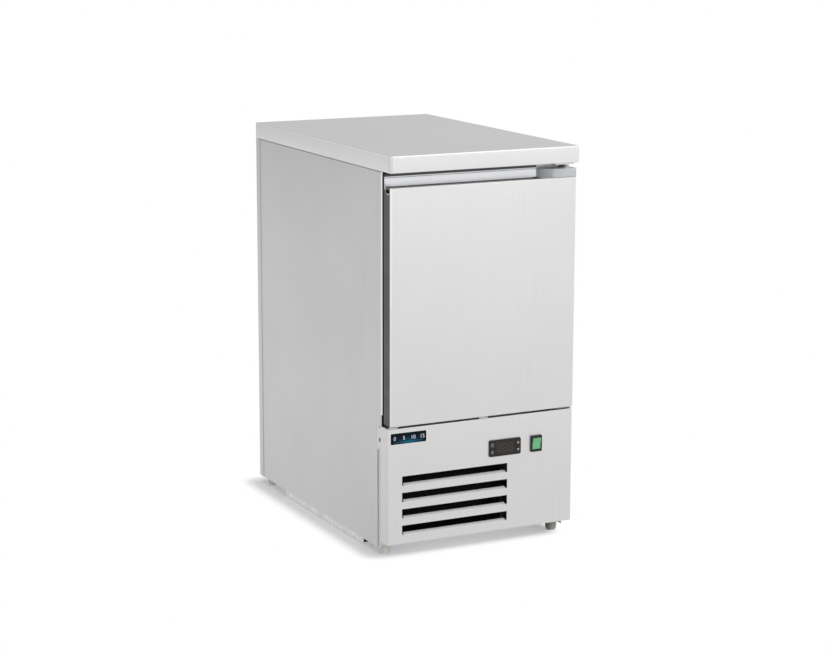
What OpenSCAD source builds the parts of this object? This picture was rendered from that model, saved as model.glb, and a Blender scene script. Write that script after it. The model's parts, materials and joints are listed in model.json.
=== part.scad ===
// One-door refrigerated prep counter with a plain worktop.
// The front faces -Y, the origin is on the floor under the counter's middle, sizes are in millimetres.

/* [Worktop] */
// Width of the worktop, the widest sheet of the counter
top_w = 435; // [428:1:460]
// Depth of the worktop, which is the depth of the counter
top_d = 700; // [690:1:740]
// Height of the worktop above the floor with the feet screwed in
top_h = 840; // [830:1:900]
// Height of the worktop's folded edge
top_edge = 35; // [28:1:45]
// Width of the lip folded in under the worktop's edge
top_lip = 12; // [10:1:20]
// Overhang of the worktop past each side of the body
top_side_over = 2; // [1.5:0.5:5]
// Overhang of the worktop past the front of the body
top_front_over = 47; // [46:1:60]

/* [Sheet metal] */
// Thickness of the body's steel sheet
sheet = 1; // [0.8:0.1:1.4]
// Inner radius of the visible folds
fold_r = 1; // [0.5:0.1:1.1]
// Width of the side panels' front fold
front_fold = 12; // [8:1:16]
// Width of the side panels' bottom fold
bottom_fold = 24; // [18:1:30]
// Width of the back panel's fold round each side
back_wrap = 20; // [12:1:30]
// Thickness of the base pan's sheet
pan_t = 1.5; // [1.2:0.1:2.5]
// Height of the base pan's turned-up edge
pan_edge = 20; // [12:1:30]

/* [Insulated box] */
// Height of the machine compartment under the insulated box
plinth_h = 259; // [250:1:290]
// Foam thickness of the side walls
wall_foam = 40; // [36:1:42]
// Foam thickness of the floor
floor_foam = 43; // [38:1:60]
// Foam thickness of the ceiling
ceiling_foam = 40; // [36:1:42]
// Foam thickness of the back wall
back_foam = 48; // [40:1:56]
// Thickness of the front frame that the gasket closes on
frame_t = 3; // [2:0.5:5]
// Depth of the front frame's lower bar below the insulated box
frame_drop = 43; // [40:1:48]

/* [Door] */
// Thickness of the door without its gasket
door_t = 32; // [31:1:40]
// Gap between the body and the door, closed by the gasket
door_gap = 9; // [8:0.5:12]
// Distance of the door's edges from the body's sides
door_side = 1; // [0.5:0.5:3]
// Depth of the folded edge of the door's skin
skin_fold = 4; // [3:0.5:6]
// Wall of the door's edge frame
edge_wall = 2; // [1.5:0.1:2.4]
// Height of the grip opening over the door's skin
grip_h = 30; // [26:1:36]
// Inner radius of the grip channel
grip_r = 13; // [11:0.5:13]
// Wall of the grip channel
grip_wall = 1.6; // [1.2:0.1:1.8]
// Gap between the inner panel's raised edge and the worktop
grip_top_gap = 5; // [4.5:0.5:7]
// Width of the end block measured on the front of the door
end_block_w = 51.5; // [46:0.5:60]
// Width of the end block's swept face
end_block_sweep = 27; // [20:1:36]
// Gap over the end block, which holds the hinge plate
end_block_gap = 12; // [11:0.5:15]
// Width of the gasket
gasket_w = 14; // [10:1:16]
// Distance of the gasket from the door's side edges
gasket_inset = 18.5; // [17:0.5:20]
// Height of the gasket's lower edge above the door's lower edge
gasket_lift = 16; // [12:1:20]
// Depth of the dished middle of the door's inner panel
dish_depth = 5; // [3:0.5:6]
// Thickness of the door's inner panel
inner_t = 1.5; // [1:0.1:2.5]

/* [Hinges] */
// Distance of the hinge axis from the door's right edge
hinge_side = 16; // [14:0.5:17]
// Distance of the hinge axis in front of the door's back face
hinge_fore = 16; // [15:0.5:17.5]
// Radius of the hinge pins
hinge_pin_r = 4; // [3:0.1:4.6]
// Radial clearance of the pins in their bushes
hinge_fit = 0.06; // [0.03:0.01:0.1]
// Wall of the hinge bushes
bush_wall = 2; // [1.5:0.1:2.4]
// Length of the hinge bushes
bush_len = 20; // [14:1:24]
// Thickness of the upper hinge plate
plate_t = 4; // [3:0.5:4.5]
// Thickness of the lower hinge bracket
bracket_t = 3; // [2.5:0.1:3.2]

/* [Front panel] */
// Gap between the door and the front panel
panel_gap = 5; // [4.6:0.1:7]
// Distance of the front panel in front of the body
panel_over = 35; // [32:1:40]
// Clearance between the front panel's ears and the side panels
ear_gap = 0.8; // [0.4:0.1:1]
// Height of the front panel's lower edge above the base
panel_lift = 8; // [6:1:14]
// Length of the ears over the side panels
ear_len = 14; // [12:1:20]
// Height of the ears
ear_h = 44; // [30:1:60]
// Number of air slots
slot_n = 4; // [2:1:4]
// Width of the air slots
slot_w = 246.5; // [200:0.5:256]
// Height of the air slots
slot_h = 19.6; // [16:0.2:24]
// Distance from one air slot to the next
slot_pitch = 35; // [30:0.5:38]
// Distance of the slots' left end from the panel's left edge
slot_left = 32; // [26:1:40]
// Height of the lowest slot above the panel's lower edge
slot_base = 20; // [14:1:26]
// Width of the slit at each end of a slot's flap
slit_w = 4; // [2.5:0.5:6]
// Length of the flap bent inwards at each slot
flap_len = 6.5; // [5:0.5:10]
// Angle of the flaps from the vertical
flap_tilt = 50; // [35:1:65]

/* [Controls] */
// Width of the thermostat's bezel
ctrl_w = 75; // [70:0.5:80]
// Height of the thermostat's bezel
ctrl_h = 35.5; // [30:0.5:38]
// Thickness of the thermostat's bezel
ctrl_t = 3; // [2.6:0.1:4]
// Depth of the thermostat behind the panel
ctrl_depth = 44; // [30:1:46]
// Middle of the thermostat, from the panel's right edge
ctrl_from_right = 163; // [160:0.5:172]
// Middle of the controls below the panel's upper edge
ctrl_below_top = 67; // [62:1:72]
// Width of the thermostat's keys
key_w = 9.5; // [8:0.5:10]
// Height of the thermostat's keys
key_h = 13; // [10:0.5:13.5]
// Travel of the thermostat's keys
key_travel = 0.5; // [0.3:0.1:0.7]
// Width of the switch's bezel
switch_w = 26; // [25:0.5:30]
// Height of the switch's bezel
switch_h = 35; // [32:0.5:36]
// Thickness of the switch's bezel
switch_t = 4; // [3:0.5:5]
// Middle of the switch, from the panel's right edge
switch_from_right = 88; // [84:0.5:96]
// Width of the rocker
rocker_w = 19; // [14:0.5:19.5]
// Radius of the rocker's round ends about its pivot
rocker_r = 13.2; // [11:0.1:13.4]
// Full angle that the rocker tips through
rocker_travel = 20; // [12:1:24]
// Width of the temperature label
label_w = 81; // [60:1:100]
// Height of the temperature label
label_h = 23; // [16:1:30]

/* [Feet and base] */
// Height of the plastic feet, which carry the base pan
foot_h = 24; // [20:1:30]
// Radius of the feet at their top
foot_r = 14; // [12:0.5:14.5]
// Radius of the feet at the floor
foot_tip_r = 11; // [9:0.5:12]
// Number of ribs round each foot
foot_ribs = 16; // [12:1:24]
// Radius of the feet's threaded studs
stud_r = 5; // [4:0.5:5]
// Radial clearance of the studs in their nuts
stud_fit = 0.08; // [0.04:0.01:0.1]
// Travel of the feet when they are screwed out
foot_travel = 25; // [10:1:26]
// Distance of the feet's axes from the sides of the worktop
foot_side = 18; // [17.5:0.5:20]
// Distance of the front feet's axes behind the body's front
foot_front = 18; // [17:0.5:24]
// Distance of the rear feet's axes from the back
foot_back = 38; // [30:1:50]
// Drop of the side panels below the base pan
side_drop = 9; // [6:1:12]
// Height of the base rails under the side panels
rail_h = 11; // [6:1:11]
// Width of the base rails
rail_w = 25; // [18:1:30]
// Wall of the base rails
rail_wall = 1.5; // [1:0.1:2]
// Front end of the base rails, from the body's front
rail_front = 90; // [60:1:120]
// Length of the base rails
rail_len = 413; // [300:1:460]

/* [Cooling unit] */
// Width of the condenser
cond_w = 240; // [200:2:240]
// Height of the condenser
cond_h = 204; // [160:2:206]
// Depth of the condenser
cond_d = 45; // [30:1:46]
// Distance from one condenser fin to the next
fin_pitch = 6; // [4:0.5:10]
// Radius of the condenser fan
cond_fan_r = 91; // [70:1:92]
// Radius of the compressor's shell
comp_r = 75; // [60:1:76]
// Height of the compressor's shell
comp_h = 150; // [120:1:155]
// Radius of the suction pipe
suction_r = 5; // [4:0.5:5.5]
// Radius of the discharge and liquid pipes
pressure_r = 4; // [3:0.5:4.5]
// Bore of the cord gland
gland_bore = 8.4; // [6:0.1:10]
// Depth of the recessed rear grille
grille_depth = 13; // [12.5:0.1:16]
// Gap between the evaporator's cover and each side wall
evap_side = 8.5; // [6.5:0.5:20]
// Height of the evaporator's cover
evap_h = 163; // [150:1:170]
// Depth of the evaporator's cover
evap_d = 110; // [104:1:130]
// Radius of the evaporator fan
evap_fan_r = 52; // [40:1:54]

/* [Shelf] */
// Gap between the wire shelf and each side wall
shelf_side = 11; // [10.5:0.5:14]
// Gap between the wire shelf and the back wall
shelf_back = 64; // [60:1:160]
// Height of the shelf above the cavity's floor
shelf_up = 192; // [150:1:200]
// Radius of the shelf's rim rod
shelf_rim_r = 3; // [2:0.5:4]
// Radius of the shelf's thin wires
shelf_wire_r = 1.5; // [1:0.1:2]
// Distance from one thin wire to the next
shelf_pitch = 20; // [12:1:40]

/* [Hidden] */
$fn = 48;
// Running space between pieces that lie near each other without touching
seat = 0.3;
// Margin by which a cut runs past a face
past = 1;

half_w = top_w / 2;
rear_y = top_d / 2;
front_y = -rear_y + top_front_over;
body_top = top_h - top_edge;
side_x = half_w - top_side_over;
in_x = side_x - sheet;
base_z = foot_h;
side_z = base_z - side_drop;
pan_top = base_z + pan_t;
box_z = base_z + plinth_h;
fold_out = fold_r + sheet;

cav_x = in_x - wall_foam - sheet;
cav_y0 = front_y + frame_t;
cav_y1 = rear_y - 2 * sheet - back_foam;
cav_z0 = box_z + 2 * sheet + floor_foam;
cav_z1 = body_top - ceiling_foam - sheet;

door_x = side_x - door_side;
door_back = front_y - door_gap;
door_front = door_back - door_t;
door_z0 = box_z + sheet;
skin_top = body_top - grip_h;
grip_top = body_top - grip_top_gap;
grip_out = grip_r + grip_wall;
grip_y = door_front + sheet + seat + grip_out;
grip_back = door_back - inner_t - seat;
block_top = body_top - end_block_gap;
block_x0 = door_x - end_block_w;
block_left = block_x0 - end_block_sweep;
block_depth = 20;
plug_depth = block_depth + 8;
foam_drop = plug_depth + 2;
gasket_lap = 10;
foam_x = door_x - edge_wall - seat;
foam_gap = 0.2;
fold_lift = 10;
fold_foot_gap = 4;
frame_x = in_x - front_fold - seat;

hinge_x = door_x - hinge_side;
hinge_y = door_back - hinge_fore;
plate_z = body_top - plate_t;
plate_x0 = hinge_x - 32.5;
bush_r = hinge_pin_r + hinge_fit + bush_wall;
bush_fit = 0.05;
bush_flange_r = bush_r + 2;
bush_flange_t = 1;
boss_half = bush_r + 6;
boss_deep = boss_half - 2;
boss_cap = 4;
collar_t = 4;
collar_r = hinge_pin_r + 2.5;
hinge_in = 1;
plate_set = 5;
plate_corner = 3;
upper_pin_short = 3;
lower_pin_short = 2;
bracket_top = door_z0 - bush_flange_t;
bracket_x0 = hinge_x - 20;
bracket_drop = 37;
bracket_set = 8;
bracket_corner = 2;
screw_r = 2.5;
screw_fit = 0.1;
screw_head_r = 4.5;
screw_head_t = 2.5;
screw_pad_r = screw_head_r + 1;
plate_screw_len = 13;
bracket_screw_len = 10;
plate_screws = [[hinge_x - 23, hinge_y - 2], [hinge_x - 23, hinge_y + 17]];
bracket_screw_x = [hinge_x - 14, hinge_x - 3];
bracket_screw_z = bracket_top - 21;

panel_x = side_x + ear_gap + sheet;
panel_front = front_y - panel_over;
panel_z0 = base_z + panel_lift;
panel_z1 = door_z0 - panel_gap;
panel_seam = 0.8;
panel_back = front_y - bracket_t - 1.5;
ear_z1 = panel_z1 - 4;
ear_screw = [front_y + 6.5, ear_z1 - 26.5];
ear_screw_r = 2;
ear_head_r = 5;
ear_head_t = 2.6;
tab_size = [20, 6, 2.2];
tab_x = [-door_x + 11, 5];
tab_set = 3;
panel_foot_fold = 20;
ear_root = 8;
ear_corner = 3;
ear_screw_len = 8;

ctrl_x = panel_x - ctrl_from_right;
switch_x = panel_x - switch_from_right;
ctrl_z = panel_z1 - ctrl_below_top;
ctrl_body = [ctrl_w - 4.4, ctrl_h - 6.9];
ctrl_corner = 3.5;
cutout_gap = 0.3;
key_gap = 0.2;
key_t = 1.6;
key_corner = 1.2;
key_out = 0.4;
key_sink = ctrl_t - 1;
key_dx = ctrl_w / 2 - 2 - key_w / 2;
key_dz = key_h / 2 + 1.2;
lens_w = ctrl_w - 2 * (key_w + 5);
lens_h = ctrl_h - 8;
lens_t = 1;
lens_sink = 1.2;
rocker_gap = 0.4;
rocker_y = panel_front + 2;
rocker_pin_r = 1.5;
rocker_pin_fit = 0.05;
rocker_face = 5.5;
rocker_back = 3;
switch_corner = 2;
switch_body = [switch_w - 4.4, switch_h - 3.4];
switch_depth = 28;
label_t = 0.4;
label_corner = 2;
label_at = [-panel_x + 6, panel_z1 - 33];

foot_x = half_w - foot_side;
foot_y = [front_y + foot_front, rear_y - foot_back];
nut_r = 9;
nut_h = 8;
stud_top = pan_top + nut_h + foot_travel + 3;
rail_y0 = front_y + rail_front;
rail_z0 = side_z - rail_h;

evap_w = 2 * (cav_x - evap_side);
evap_y0 = cav_y1 - evap_d;
evap_z0 = cav_z1 - evap_h;
evap_wall = 2;
evap_fan_z = evap_z0 + 84;
evap_fan_y = evap_y0 + 14;
evap_fan_gap = 5;
evap_bar = 14;
evap_shaft_in = 10;
coil_d = 48;
coil_y0 = cav_y1 - seat - coil_d;
coil_half = evap_w / 2 - 60;
coil_z0 = evap_z0 + 26;
coil_h = 120;
drip_y0 = coil_y0 - 12;
drip_z0 = evap_z0 + 4;
drain_z = drip_z0 + 10;
suction_z = coil_z0 + 20;

cond_x0 = -in_x + 44.5;
cond_y0 = front_y + 13;
cond_y1 = cond_y0 + cond_d;
cond_mid = cond_x0 + cond_w / 2;
fan_z = pan_top + cond_h / 2;
shroud_t = 1.5;
fin_share = 0.35;
fin_gap_depth = 9;
fin_inset = 1;
end_plate_t = 1.2;
arm_t = 3;
arm_half_h = 9;
ring_r = cond_fan_r + 4;
ring_len = 24;
fan_y = cond_y1 + seat + shroud_t + ring_len / 2;
hub_r = 22;
arm_y = fan_y + 34;
motor_r = 40;
motor_len = 48;
shaft_r = 3;
shaft_fit = 0.06;
shaft_play = 4;
cond_shaft_in = 20;
comp_at = [in_x - 142.5, rear_y - 230];
grommet_h = 15;
comp_plate_t = 3;
comp_plate_z = pan_top + grommet_h;
comp_z0 = comp_plate_z + comp_plate_t;
comp_top = comp_z0 + comp_h;
stub_y = [comp_at.y - 14, comp_at.y + 14];
stub_r = [pressure_r, suction_r];
stub_len = 14;
stub_wall = 1.2;
stub_fit = 0.05;
seam_out = 2;
comp_wall = 17;
grommet_dx = 72;
grommet_dy = 52;
coil_pipe_x = cond_x0 + cond_w + 26;
coil_pipe_y = (cond_y0 + cond_y1) / 2;
coil_in_z = pan_top + cond_h - 20;
coil_out_z = pan_top + 26;
drier_y = [-110, -20];
drier_r = 12;
riser_y = rear_y - 2 * sheet - 22;
suction_x = coil_half + 17;
capillary_x = suction_x + 10;
capillary_r = 1.5;
capillary_run_x = in_x - 32.5;
riser_r = 12;
riser_x = (suction_x + capillary_x) / 2;
over_z = comp_top + 34;
drain_x = -coil_half - 15;
drain_r = 6;
tray_at = [-in_x + 29.5, rear_y - 290];
tray_size = [comp_at.x - comp_r - 17 - tray_at.x, 274, 40];
tray_wall = 1.5;
grille_x = in_x - 24.5;
grille_z0 = base_z + pan_edge + 2;
grille_z1 = box_z - 16;
grille_lap = 9;
dish_y = rear_y - sheet - grille_depth;
gland_x = grille_x - 35;
gland_z = grille_z0 + 24;
gland_r = 8;
gland_flange_r = 12;

shelf_z = cav_z0 + shelf_up;
rack_t = 2.5;
runner_w = 13;
runner_t = 1.5;
strip_w = 20;
strip_y = [cav_y0 + 50, cav_y1 - 170];
shelf_w = 2 * (cav_x - shelf_side);
shelf_y0 = cav_y0 + 6;
shelf_y1 = cav_y1 - shelf_back;
rack_y = [cav_y0 + 10, shelf_y1 - 16];

// Box between its lowest and highest corners
module block(low, high) {
    translate(low) cube(high - low);
}

// Flat rectangle between two corners, its own corners rounded by true arcs
module round_rect(low, high, r) {
    translate([low.x + r, low.y]) square([high.x - low.x - 2 * r, high.y - low.y]);
    translate([low.x, low.y + r]) square([high.x - low.x, high.y - low.y - 2 * r]);
    for (x = [low.x + r, high.x - r], y = [low.y + r, high.y - r]) translate([x, y]) circle(r);
}

// Flat shape drawn in Y and Z, extruded along X
module along_x(x0, x1) {
    translate([x0, 0, 0]) rotate([90, 0, 90]) linear_extrude(x1 - x0) children();
}

// Flat shape drawn in X and Z, extruded along Y
module along_y(y0, y1) {
    translate([0, y1, 0]) rotate([90, 0, 0]) linear_extrude(y1 - y0) children();
}

// Flat shape drawn in X and Y, extruded along Z
module along_z(z0, z1) {
    translate([0, 0, z0]) linear_extrude(z1 - z0) children();
}

// Box whose edges round its front face have the radius r
module front_slab(low, high, r) {
    intersection() {
        along_x(low.x, high.x) round_rect([low.y, low.z], [high.y + 2 * r, high.z], r);
        along_z(low.z, high.z) round_rect([low.x, low.y], [high.x, high.y + 2 * r], r);
        block(low, high);
    }
}

// Cylinder along X, Y or Z from one end to the other
module rod_x(x0, x1, y, z, r) {
    translate([x0, y, z]) rotate([0, 90, 0]) cylinder(h = x1 - x0, r = r);
}
module rod_y(y0, y1, x, z, r) {
    translate([x, y1, z]) rotate([90, 0, 0]) cylinder(h = y1 - y0, r = r);
}
module rod_z(z0, z1, x, y, r) {
    translate([x, y, z0]) cylinder(h = z1 - z0, r = r);
}

// Round pipe through a list of points, with a ball at each bend
module pipe(route, r) {
    for (i = [0 : len(route) - 2]) {
        run = route[i + 1] - route[i];
        length = norm(run);
        translate(route[i])
            rotate([0, acos(run.z / length), atan2(run.y, run.x)])
                cylinder(h = length, r = r);
    }
    for (i = [1 : 1 : len(route) - 2]) translate(route[i]) sphere(r);
}

// Low dome of a pan-head screw, standing on the plane Z = 0
module dome(r, h) {
    ball = (r * r + h * h) / (2 * h);
    intersection() {
        translate([0, 0, h - ball]) sphere(ball);
        cylinder(h = h, r = r);
    }
}

// Copies on both sides of the middle plane
module both_sides() {
    children();
    mirror([1, 0, 0]) children();
}

module worktop() {
    color([0.8, 0.8, 0.8]) difference() {
        intersection() {
            along_x(-half_w, half_w) round_rect([-rear_y, body_top], [rear_y, top_h], fold_out);
            along_y(-rear_y, rear_y) round_rect([-half_w, body_top], [half_w, top_h], fold_out);
            along_z(body_top, top_h) round_rect([-half_w, -rear_y], [half_w, rear_y], fold_out);
        }
        block([-half_w + sheet, -rear_y + sheet, body_top + sheet],
            [half_w - sheet, rear_y - sheet, top_h - sheet]);
        block([-half_w + top_lip, -rear_y + top_lip, body_top - past],
            [half_w - top_lip, rear_y - top_lip, body_top + sheet + past]);
    }
}

module worktop_core() {
    color([0.75, 0.62, 0.45]) difference() {
        block([-half_w + sheet + seat, -rear_y + sheet + seat, body_top + sheet],
            [half_w - sheet - seat, rear_y - sheet - seat, top_h - sheet]);
        for (at = plate_screws)
            rod_z(body_top, body_top + sheet + plate_screw_len + past, at.x, at.y, screw_r + screw_fit);
    }
}

// Left side panel: sheet, front fold and bottom fold
module side_panel() {
    color([0.74, 0.74, 0.75]) difference() {
        union() {
            block([-side_x, front_y, side_z], [-in_x, rear_y - sheet, body_top]);
            block([-in_x, front_y, panel_z0 + fold_lift],
                [-in_x + front_fold, front_y + sheet, body_top]);
            block([-in_x, foot_y[0] + foot_r + fold_foot_gap, side_z],
                [-in_x + bottom_fold, foot_y[1] - foot_r - fold_foot_gap, side_z + sheet]);
        }
        difference() {
            block([-side_x - past, front_y - past, side_z - past],
                [-side_x + fold_out, front_y + fold_out, body_top + past]);
            rod_z(side_z - past, body_top + past, -side_x + fold_out, front_y + fold_out, fold_out);
        }
        rod_x(-side_x - past, -in_x + past, ear_screw.x, ear_screw.y, ear_screw_r + screw_fit);
    }
}

module side_panel_left() {
    side_panel();
}

module side_panel_right() {
    mirror([1, 0, 0]) side_panel();
}

module back_panel() {
    color([0.72, 0.72, 0.73]) difference() {
        union() {
            block([-side_x - sheet, rear_y - sheet, side_z], [side_x + sheet, rear_y, body_top]);
            both_sides() block([-side_x - sheet, rear_y - back_wrap, side_z],
                [-side_x, rear_y - sheet, body_top]);
        }
        block([-grille_x, rear_y - sheet - past, grille_z0], [grille_x, rear_y + past, grille_z1]);
    }
}

module rear_grille() {
    slot_w = 150;
    slot_h = 6;
    slot_rows = 9;
    row_pitch = 14;
    first_row = gland_z + gland_flange_r + 24;
    color([0.7, 0.7, 0.71]) difference() {
        union() {
            block([-grille_x - grille_lap, rear_y - 2 * sheet, grille_z0 - grille_lap],
                [grille_x + grille_lap, rear_y - sheet, grille_z1 + grille_lap]);
            block([-grille_x, dish_y, grille_z0], [grille_x, rear_y - sheet, grille_z1]);
        }
        block([-grille_x + sheet, dish_y + sheet, grille_z0 + sheet],
            [grille_x - sheet, rear_y, grille_z1 - sheet]);
        for (side = [-1, 1], row = [0 : slot_rows - 1])
            along_y(dish_y - past, dish_y + sheet + past)
                translate([side * (slot_w / 2 + 12), first_row + row * row_pitch])
                    round_rect([-slot_w / 2, -slot_h / 2], [slot_w / 2, slot_h / 2], slot_h / 2 - 0.1);
        rod_y(dish_y - past, dish_y + sheet + past, gland_x, gland_z, gland_r + screw_fit);
    }
}

module base_pan() {
    color([0.68, 0.68, 0.69]) difference() {
        union() {
            difference() {
                block([-in_x, front_y + sheet + seat, base_z],
                    [in_x, rear_y - 2 * sheet - seat, base_z + pan_edge]);
                block([-in_x + pan_t, front_y + sheet + seat + pan_t, pan_top],
                    [in_x - pan_t, rear_y - 2 * sheet - seat - pan_t, base_z + pan_edge + past]);
            }
            for (x = [-foot_x, foot_x], y = foot_y) rod_z(pan_top, pan_top + nut_h, x, y, nut_r);
        }
        for (x = [-foot_x, foot_x], y = foot_y)
            rod_z(base_z - past, pan_top + nut_h + past, x, y, stud_r + stud_fit);
    }
}

// Hollow rails welded under the side panels' bottom folds, open at both ends
module base_rails() {
    color([0.78, 0.78, 0.78]) both_sides() difference() {
        block([-side_x, rail_y0, rail_z0], [-side_x + rail_w, rail_y0 + rail_len, side_z]);
        block([-side_x + rail_wall, rail_y0 - past, rail_z0 + rail_wall],
            [-side_x + rail_w - rail_wall, rail_y0 + rail_len + past, side_z - rail_wall]);
    }
}

module floor_plate() {
    color([0.7, 0.7, 0.71]) difference() {
        block([-in_x, cav_y0, box_z], [in_x, rear_y - sheet, box_z + sheet]);
        rod_z(box_z - past, box_z + sheet + past, riser_x, riser_y, riser_r);
        rod_z(box_z - past, box_z + sheet + past, drain_x, riser_y, drain_r + past);
    }
}

module front_frame() {
    color([0.7, 0.71, 0.72]) difference() {
        block([-frame_x, front_y, box_z - frame_drop], [frame_x, cav_y0, body_top]);
        block([-cav_x, front_y - past, cav_z0], [cav_x, cav_y0 + past, cav_z1]);
        for (x = bracket_screw_x)
            rod_y(front_y - past, cav_y0 + past, x, bracket_screw_z, screw_r + screw_fit);
    }
}

module cabinet_foam() {
    color([0.93, 0.88, 0.7]) difference() {
        block([-in_x, cav_y0, box_z + sheet], [in_x, rear_y - sheet, body_top]);
        block([-cav_x - sheet, cav_y0 - past, cav_z0 - sheet],
            [cav_x + sheet, cav_y1 + sheet, cav_z1 + sheet]);
        pipe_passages();
    }
}

// Passages through the back wall for the refrigerant lines and the drain
module pipe_passages() {
    rod_z(box_z - past, suction_z, riser_x, riser_y, riser_r);
    rod_y(cav_y1 - past, riser_y, riser_x, suction_z - riser_r, riser_r);
    rod_z(box_z - past, drain_z + drain_r, drain_x, riser_y, drain_r + past);
    rod_y(cav_y1 - past, riser_y, drain_x, drain_z, drain_r + past);
}

module inner_liner() {
    color([0.82, 0.83, 0.84]) difference() {
        block([-cav_x - sheet, cav_y0, cav_z0 - sheet],
            [cav_x + sheet, cav_y1 + sheet, cav_z1 + sheet]);
        block([-cav_x, cav_y0 - past, cav_z0], [cav_x, cav_y1, cav_z1]);
        pipe_passages();
    }
}

// Plate under the worktop with the upper hinge pin
module hinge_plate_top() {
    color([0.72, 0.73, 0.74]) difference() {
        union() {
            along_z(plate_z, body_top)
                round_rect([plate_x0, door_front + plate_set],
                    [in_x - hinge_in, front_y], plate_corner);
            for (at = plate_screws) rod_z(body_top, body_top + sheet, at.x, at.y, screw_pad_r);
            rod_z(plate_z - collar_t, plate_z, hinge_x, hinge_y, collar_r);
            rod_z(block_top - bush_len + upper_pin_short, plate_z, hinge_x, hinge_y, hinge_pin_r);
        }
        for (at = plate_screws)
            rod_z(plate_z - past, body_top + sheet + past, at.x, at.y, screw_r + screw_fit);
    }
}

// Angle bracket on the front frame with the lower hinge pin
module hinge_bracket_bottom() {
    color([0.72, 0.73, 0.74]) difference() {
        union() {
            along_z(bracket_top - bracket_t, bracket_top)
                round_rect([bracket_x0, door_front + bracket_set],
                    [in_x - hinge_in, front_y], bracket_corner);
            block([bracket_x0, front_y - bracket_t, bracket_top - bracket_drop],
                [in_x - front_fold - hinge_in, front_y, bracket_top - bracket_t]);
            rod_z(bracket_top - bracket_t, bracket_top + bush_len - lower_pin_short,
                hinge_x, hinge_y, hinge_pin_r);
        }
        for (x = bracket_screw_x)
            rod_y(front_y - bracket_t - past, front_y + past, x, bracket_screw_z, screw_r + screw_fit);
    }
}

module hinge_screws() {
    color([0.85, 0.85, 0.86]) {
        for (at = plate_screws) {
            rod_z(plate_z, body_top + sheet + plate_screw_len, at.x, at.y, screw_r);
            translate([at.x, at.y, plate_z]) mirror([0, 0, 1]) dome(screw_head_r, screw_head_t);
        }
        for (x = bracket_screw_x) {
            rod_y(front_y - bracket_t, front_y + bracket_screw_len, x, bracket_screw_z, screw_r);
            translate([x, front_y - bracket_t, bracket_screw_z]) rotate([90, 0, 0])
                dome(screw_head_r, screw_head_t);
        }
    }
}

// Air slot seen from the front: a wide opening with a slit down each side of its flap
module slot_shape(low) {
    arc = slit_w / 2 - 0.1;
    fall = flap_len * cos(flap_tilt);
    translate([low.x, low.y + fall]) square([slot_w, slot_h - fall]);
    for (x = [low.x, low.x + slot_w - slit_w])
        translate([x, 0]) round_rect([0, low.y], [slit_w, low.y + fall + slit_w], arc);
    translate([low.x + slit_w - past, low.y]) square([slot_w - 2 * slit_w + 2 * past, fall + past]);
}

// Flap at the foot of an air slot, bent in and up
module slot_flap(low) {
    translate([low.x + slit_w, panel_front, low.y])
        rotate([-flap_tilt, 0, 0])
            cube([slot_w - 2 * slit_w, sheet, flap_len]);
}

module front_panel() {
    slot_x = -panel_x + slot_left;
    slot_z = [for (i = [0 : slot_n - 1]) panel_z0 + slot_base + i * slot_pitch];
    color([0.84, 0.84, 0.85]) difference() {
        union() {
            difference() {
                front_slab([-panel_x, panel_front, panel_z0],
                    [panel_x, front_y - panel_seam, panel_z1], fold_out);
                block([-panel_x + sheet, panel_front + sheet, panel_z0 + sheet],
                    [panel_x - sheet, front_y, panel_z1 - sheet]);
                block([-panel_x + sheet, panel_front + panel_foot_fold, panel_z0 - past],
                    [panel_x - sheet, front_y, panel_z0 + sheet + past]);
                block([-panel_x + sheet, panel_back, panel_z1 - sheet - past],
                    [panel_x - sheet, front_y, panel_z1 + past]);
                for (z = slot_z)
                    along_y(panel_front - past, panel_front + sheet + past) slot_shape([slot_x, z]);
            }
            both_sides() along_x(-panel_x, -panel_x + sheet)
                round_rect([front_y - panel_seam - ear_root, ear_z1 - ear_h],
                    [front_y + ear_len, ear_z1], ear_corner);
            for (z = slot_z) slot_flap([slot_x, z]);
            for (x = tab_x)
                translate([x - tab_size.x / 2, panel_front + tab_set, panel_z1]) cube(tab_size);
        }
        both_sides() rod_x(-panel_x - past, -panel_x + sheet + past, ear_screw.x, ear_screw.y,
            ear_screw_r + screw_fit);
        cutout(ctrl_x, ctrl_body);
        cutout(switch_x, switch_body);
    }
}

// Hole through the front panel for a control's body
module cutout(x, size) {
    block([x - size.x / 2 - cutout_gap, panel_front - past, ctrl_z - size.y / 2 - cutout_gap],
        [x + size.x / 2 + cutout_gap, panel_front + sheet + past, ctrl_z + size.y / 2 + cutout_gap]);
}

module front_panel_screws() {
    color([0.85, 0.85, 0.86]) both_sides() {
        rod_x(-panel_x, -in_x + ear_screw_len, ear_screw.x, ear_screw.y, ear_screw_r);
        translate([-panel_x, ear_screw.x, ear_screw.y]) rotate([0, -90, 0]) dome(ear_head_r, ear_head_t);
    }
}

module temperature_label() {
    color([0.05, 0.16, 0.3]) along_y(panel_front - label_t, panel_front)
        round_rect(label_at, label_at + [label_w, label_h], label_corner);
}

module thermostat_housing() {
    color([0.09, 0.08, 0.08]) difference() {
        union() {
            along_y(panel_front - ctrl_t, panel_front)
                round_rect([ctrl_x - ctrl_w / 2, ctrl_z - ctrl_h / 2],
                    [ctrl_x + ctrl_w / 2, ctrl_z + ctrl_h / 2], ctrl_corner);
            block([ctrl_x - ctrl_body.x / 2, panel_front, ctrl_z - ctrl_body.y / 2],
                [ctrl_x + ctrl_body.x / 2, panel_front + ctrl_depth, ctrl_z + ctrl_body.y / 2]);
        }
        lens_box(0, lens_sink + past);
        for (sx = [-1, 1], sz = [-1, 1]) key_box(sx, sz, key_gap, key_sink + past);
    }
}

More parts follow.
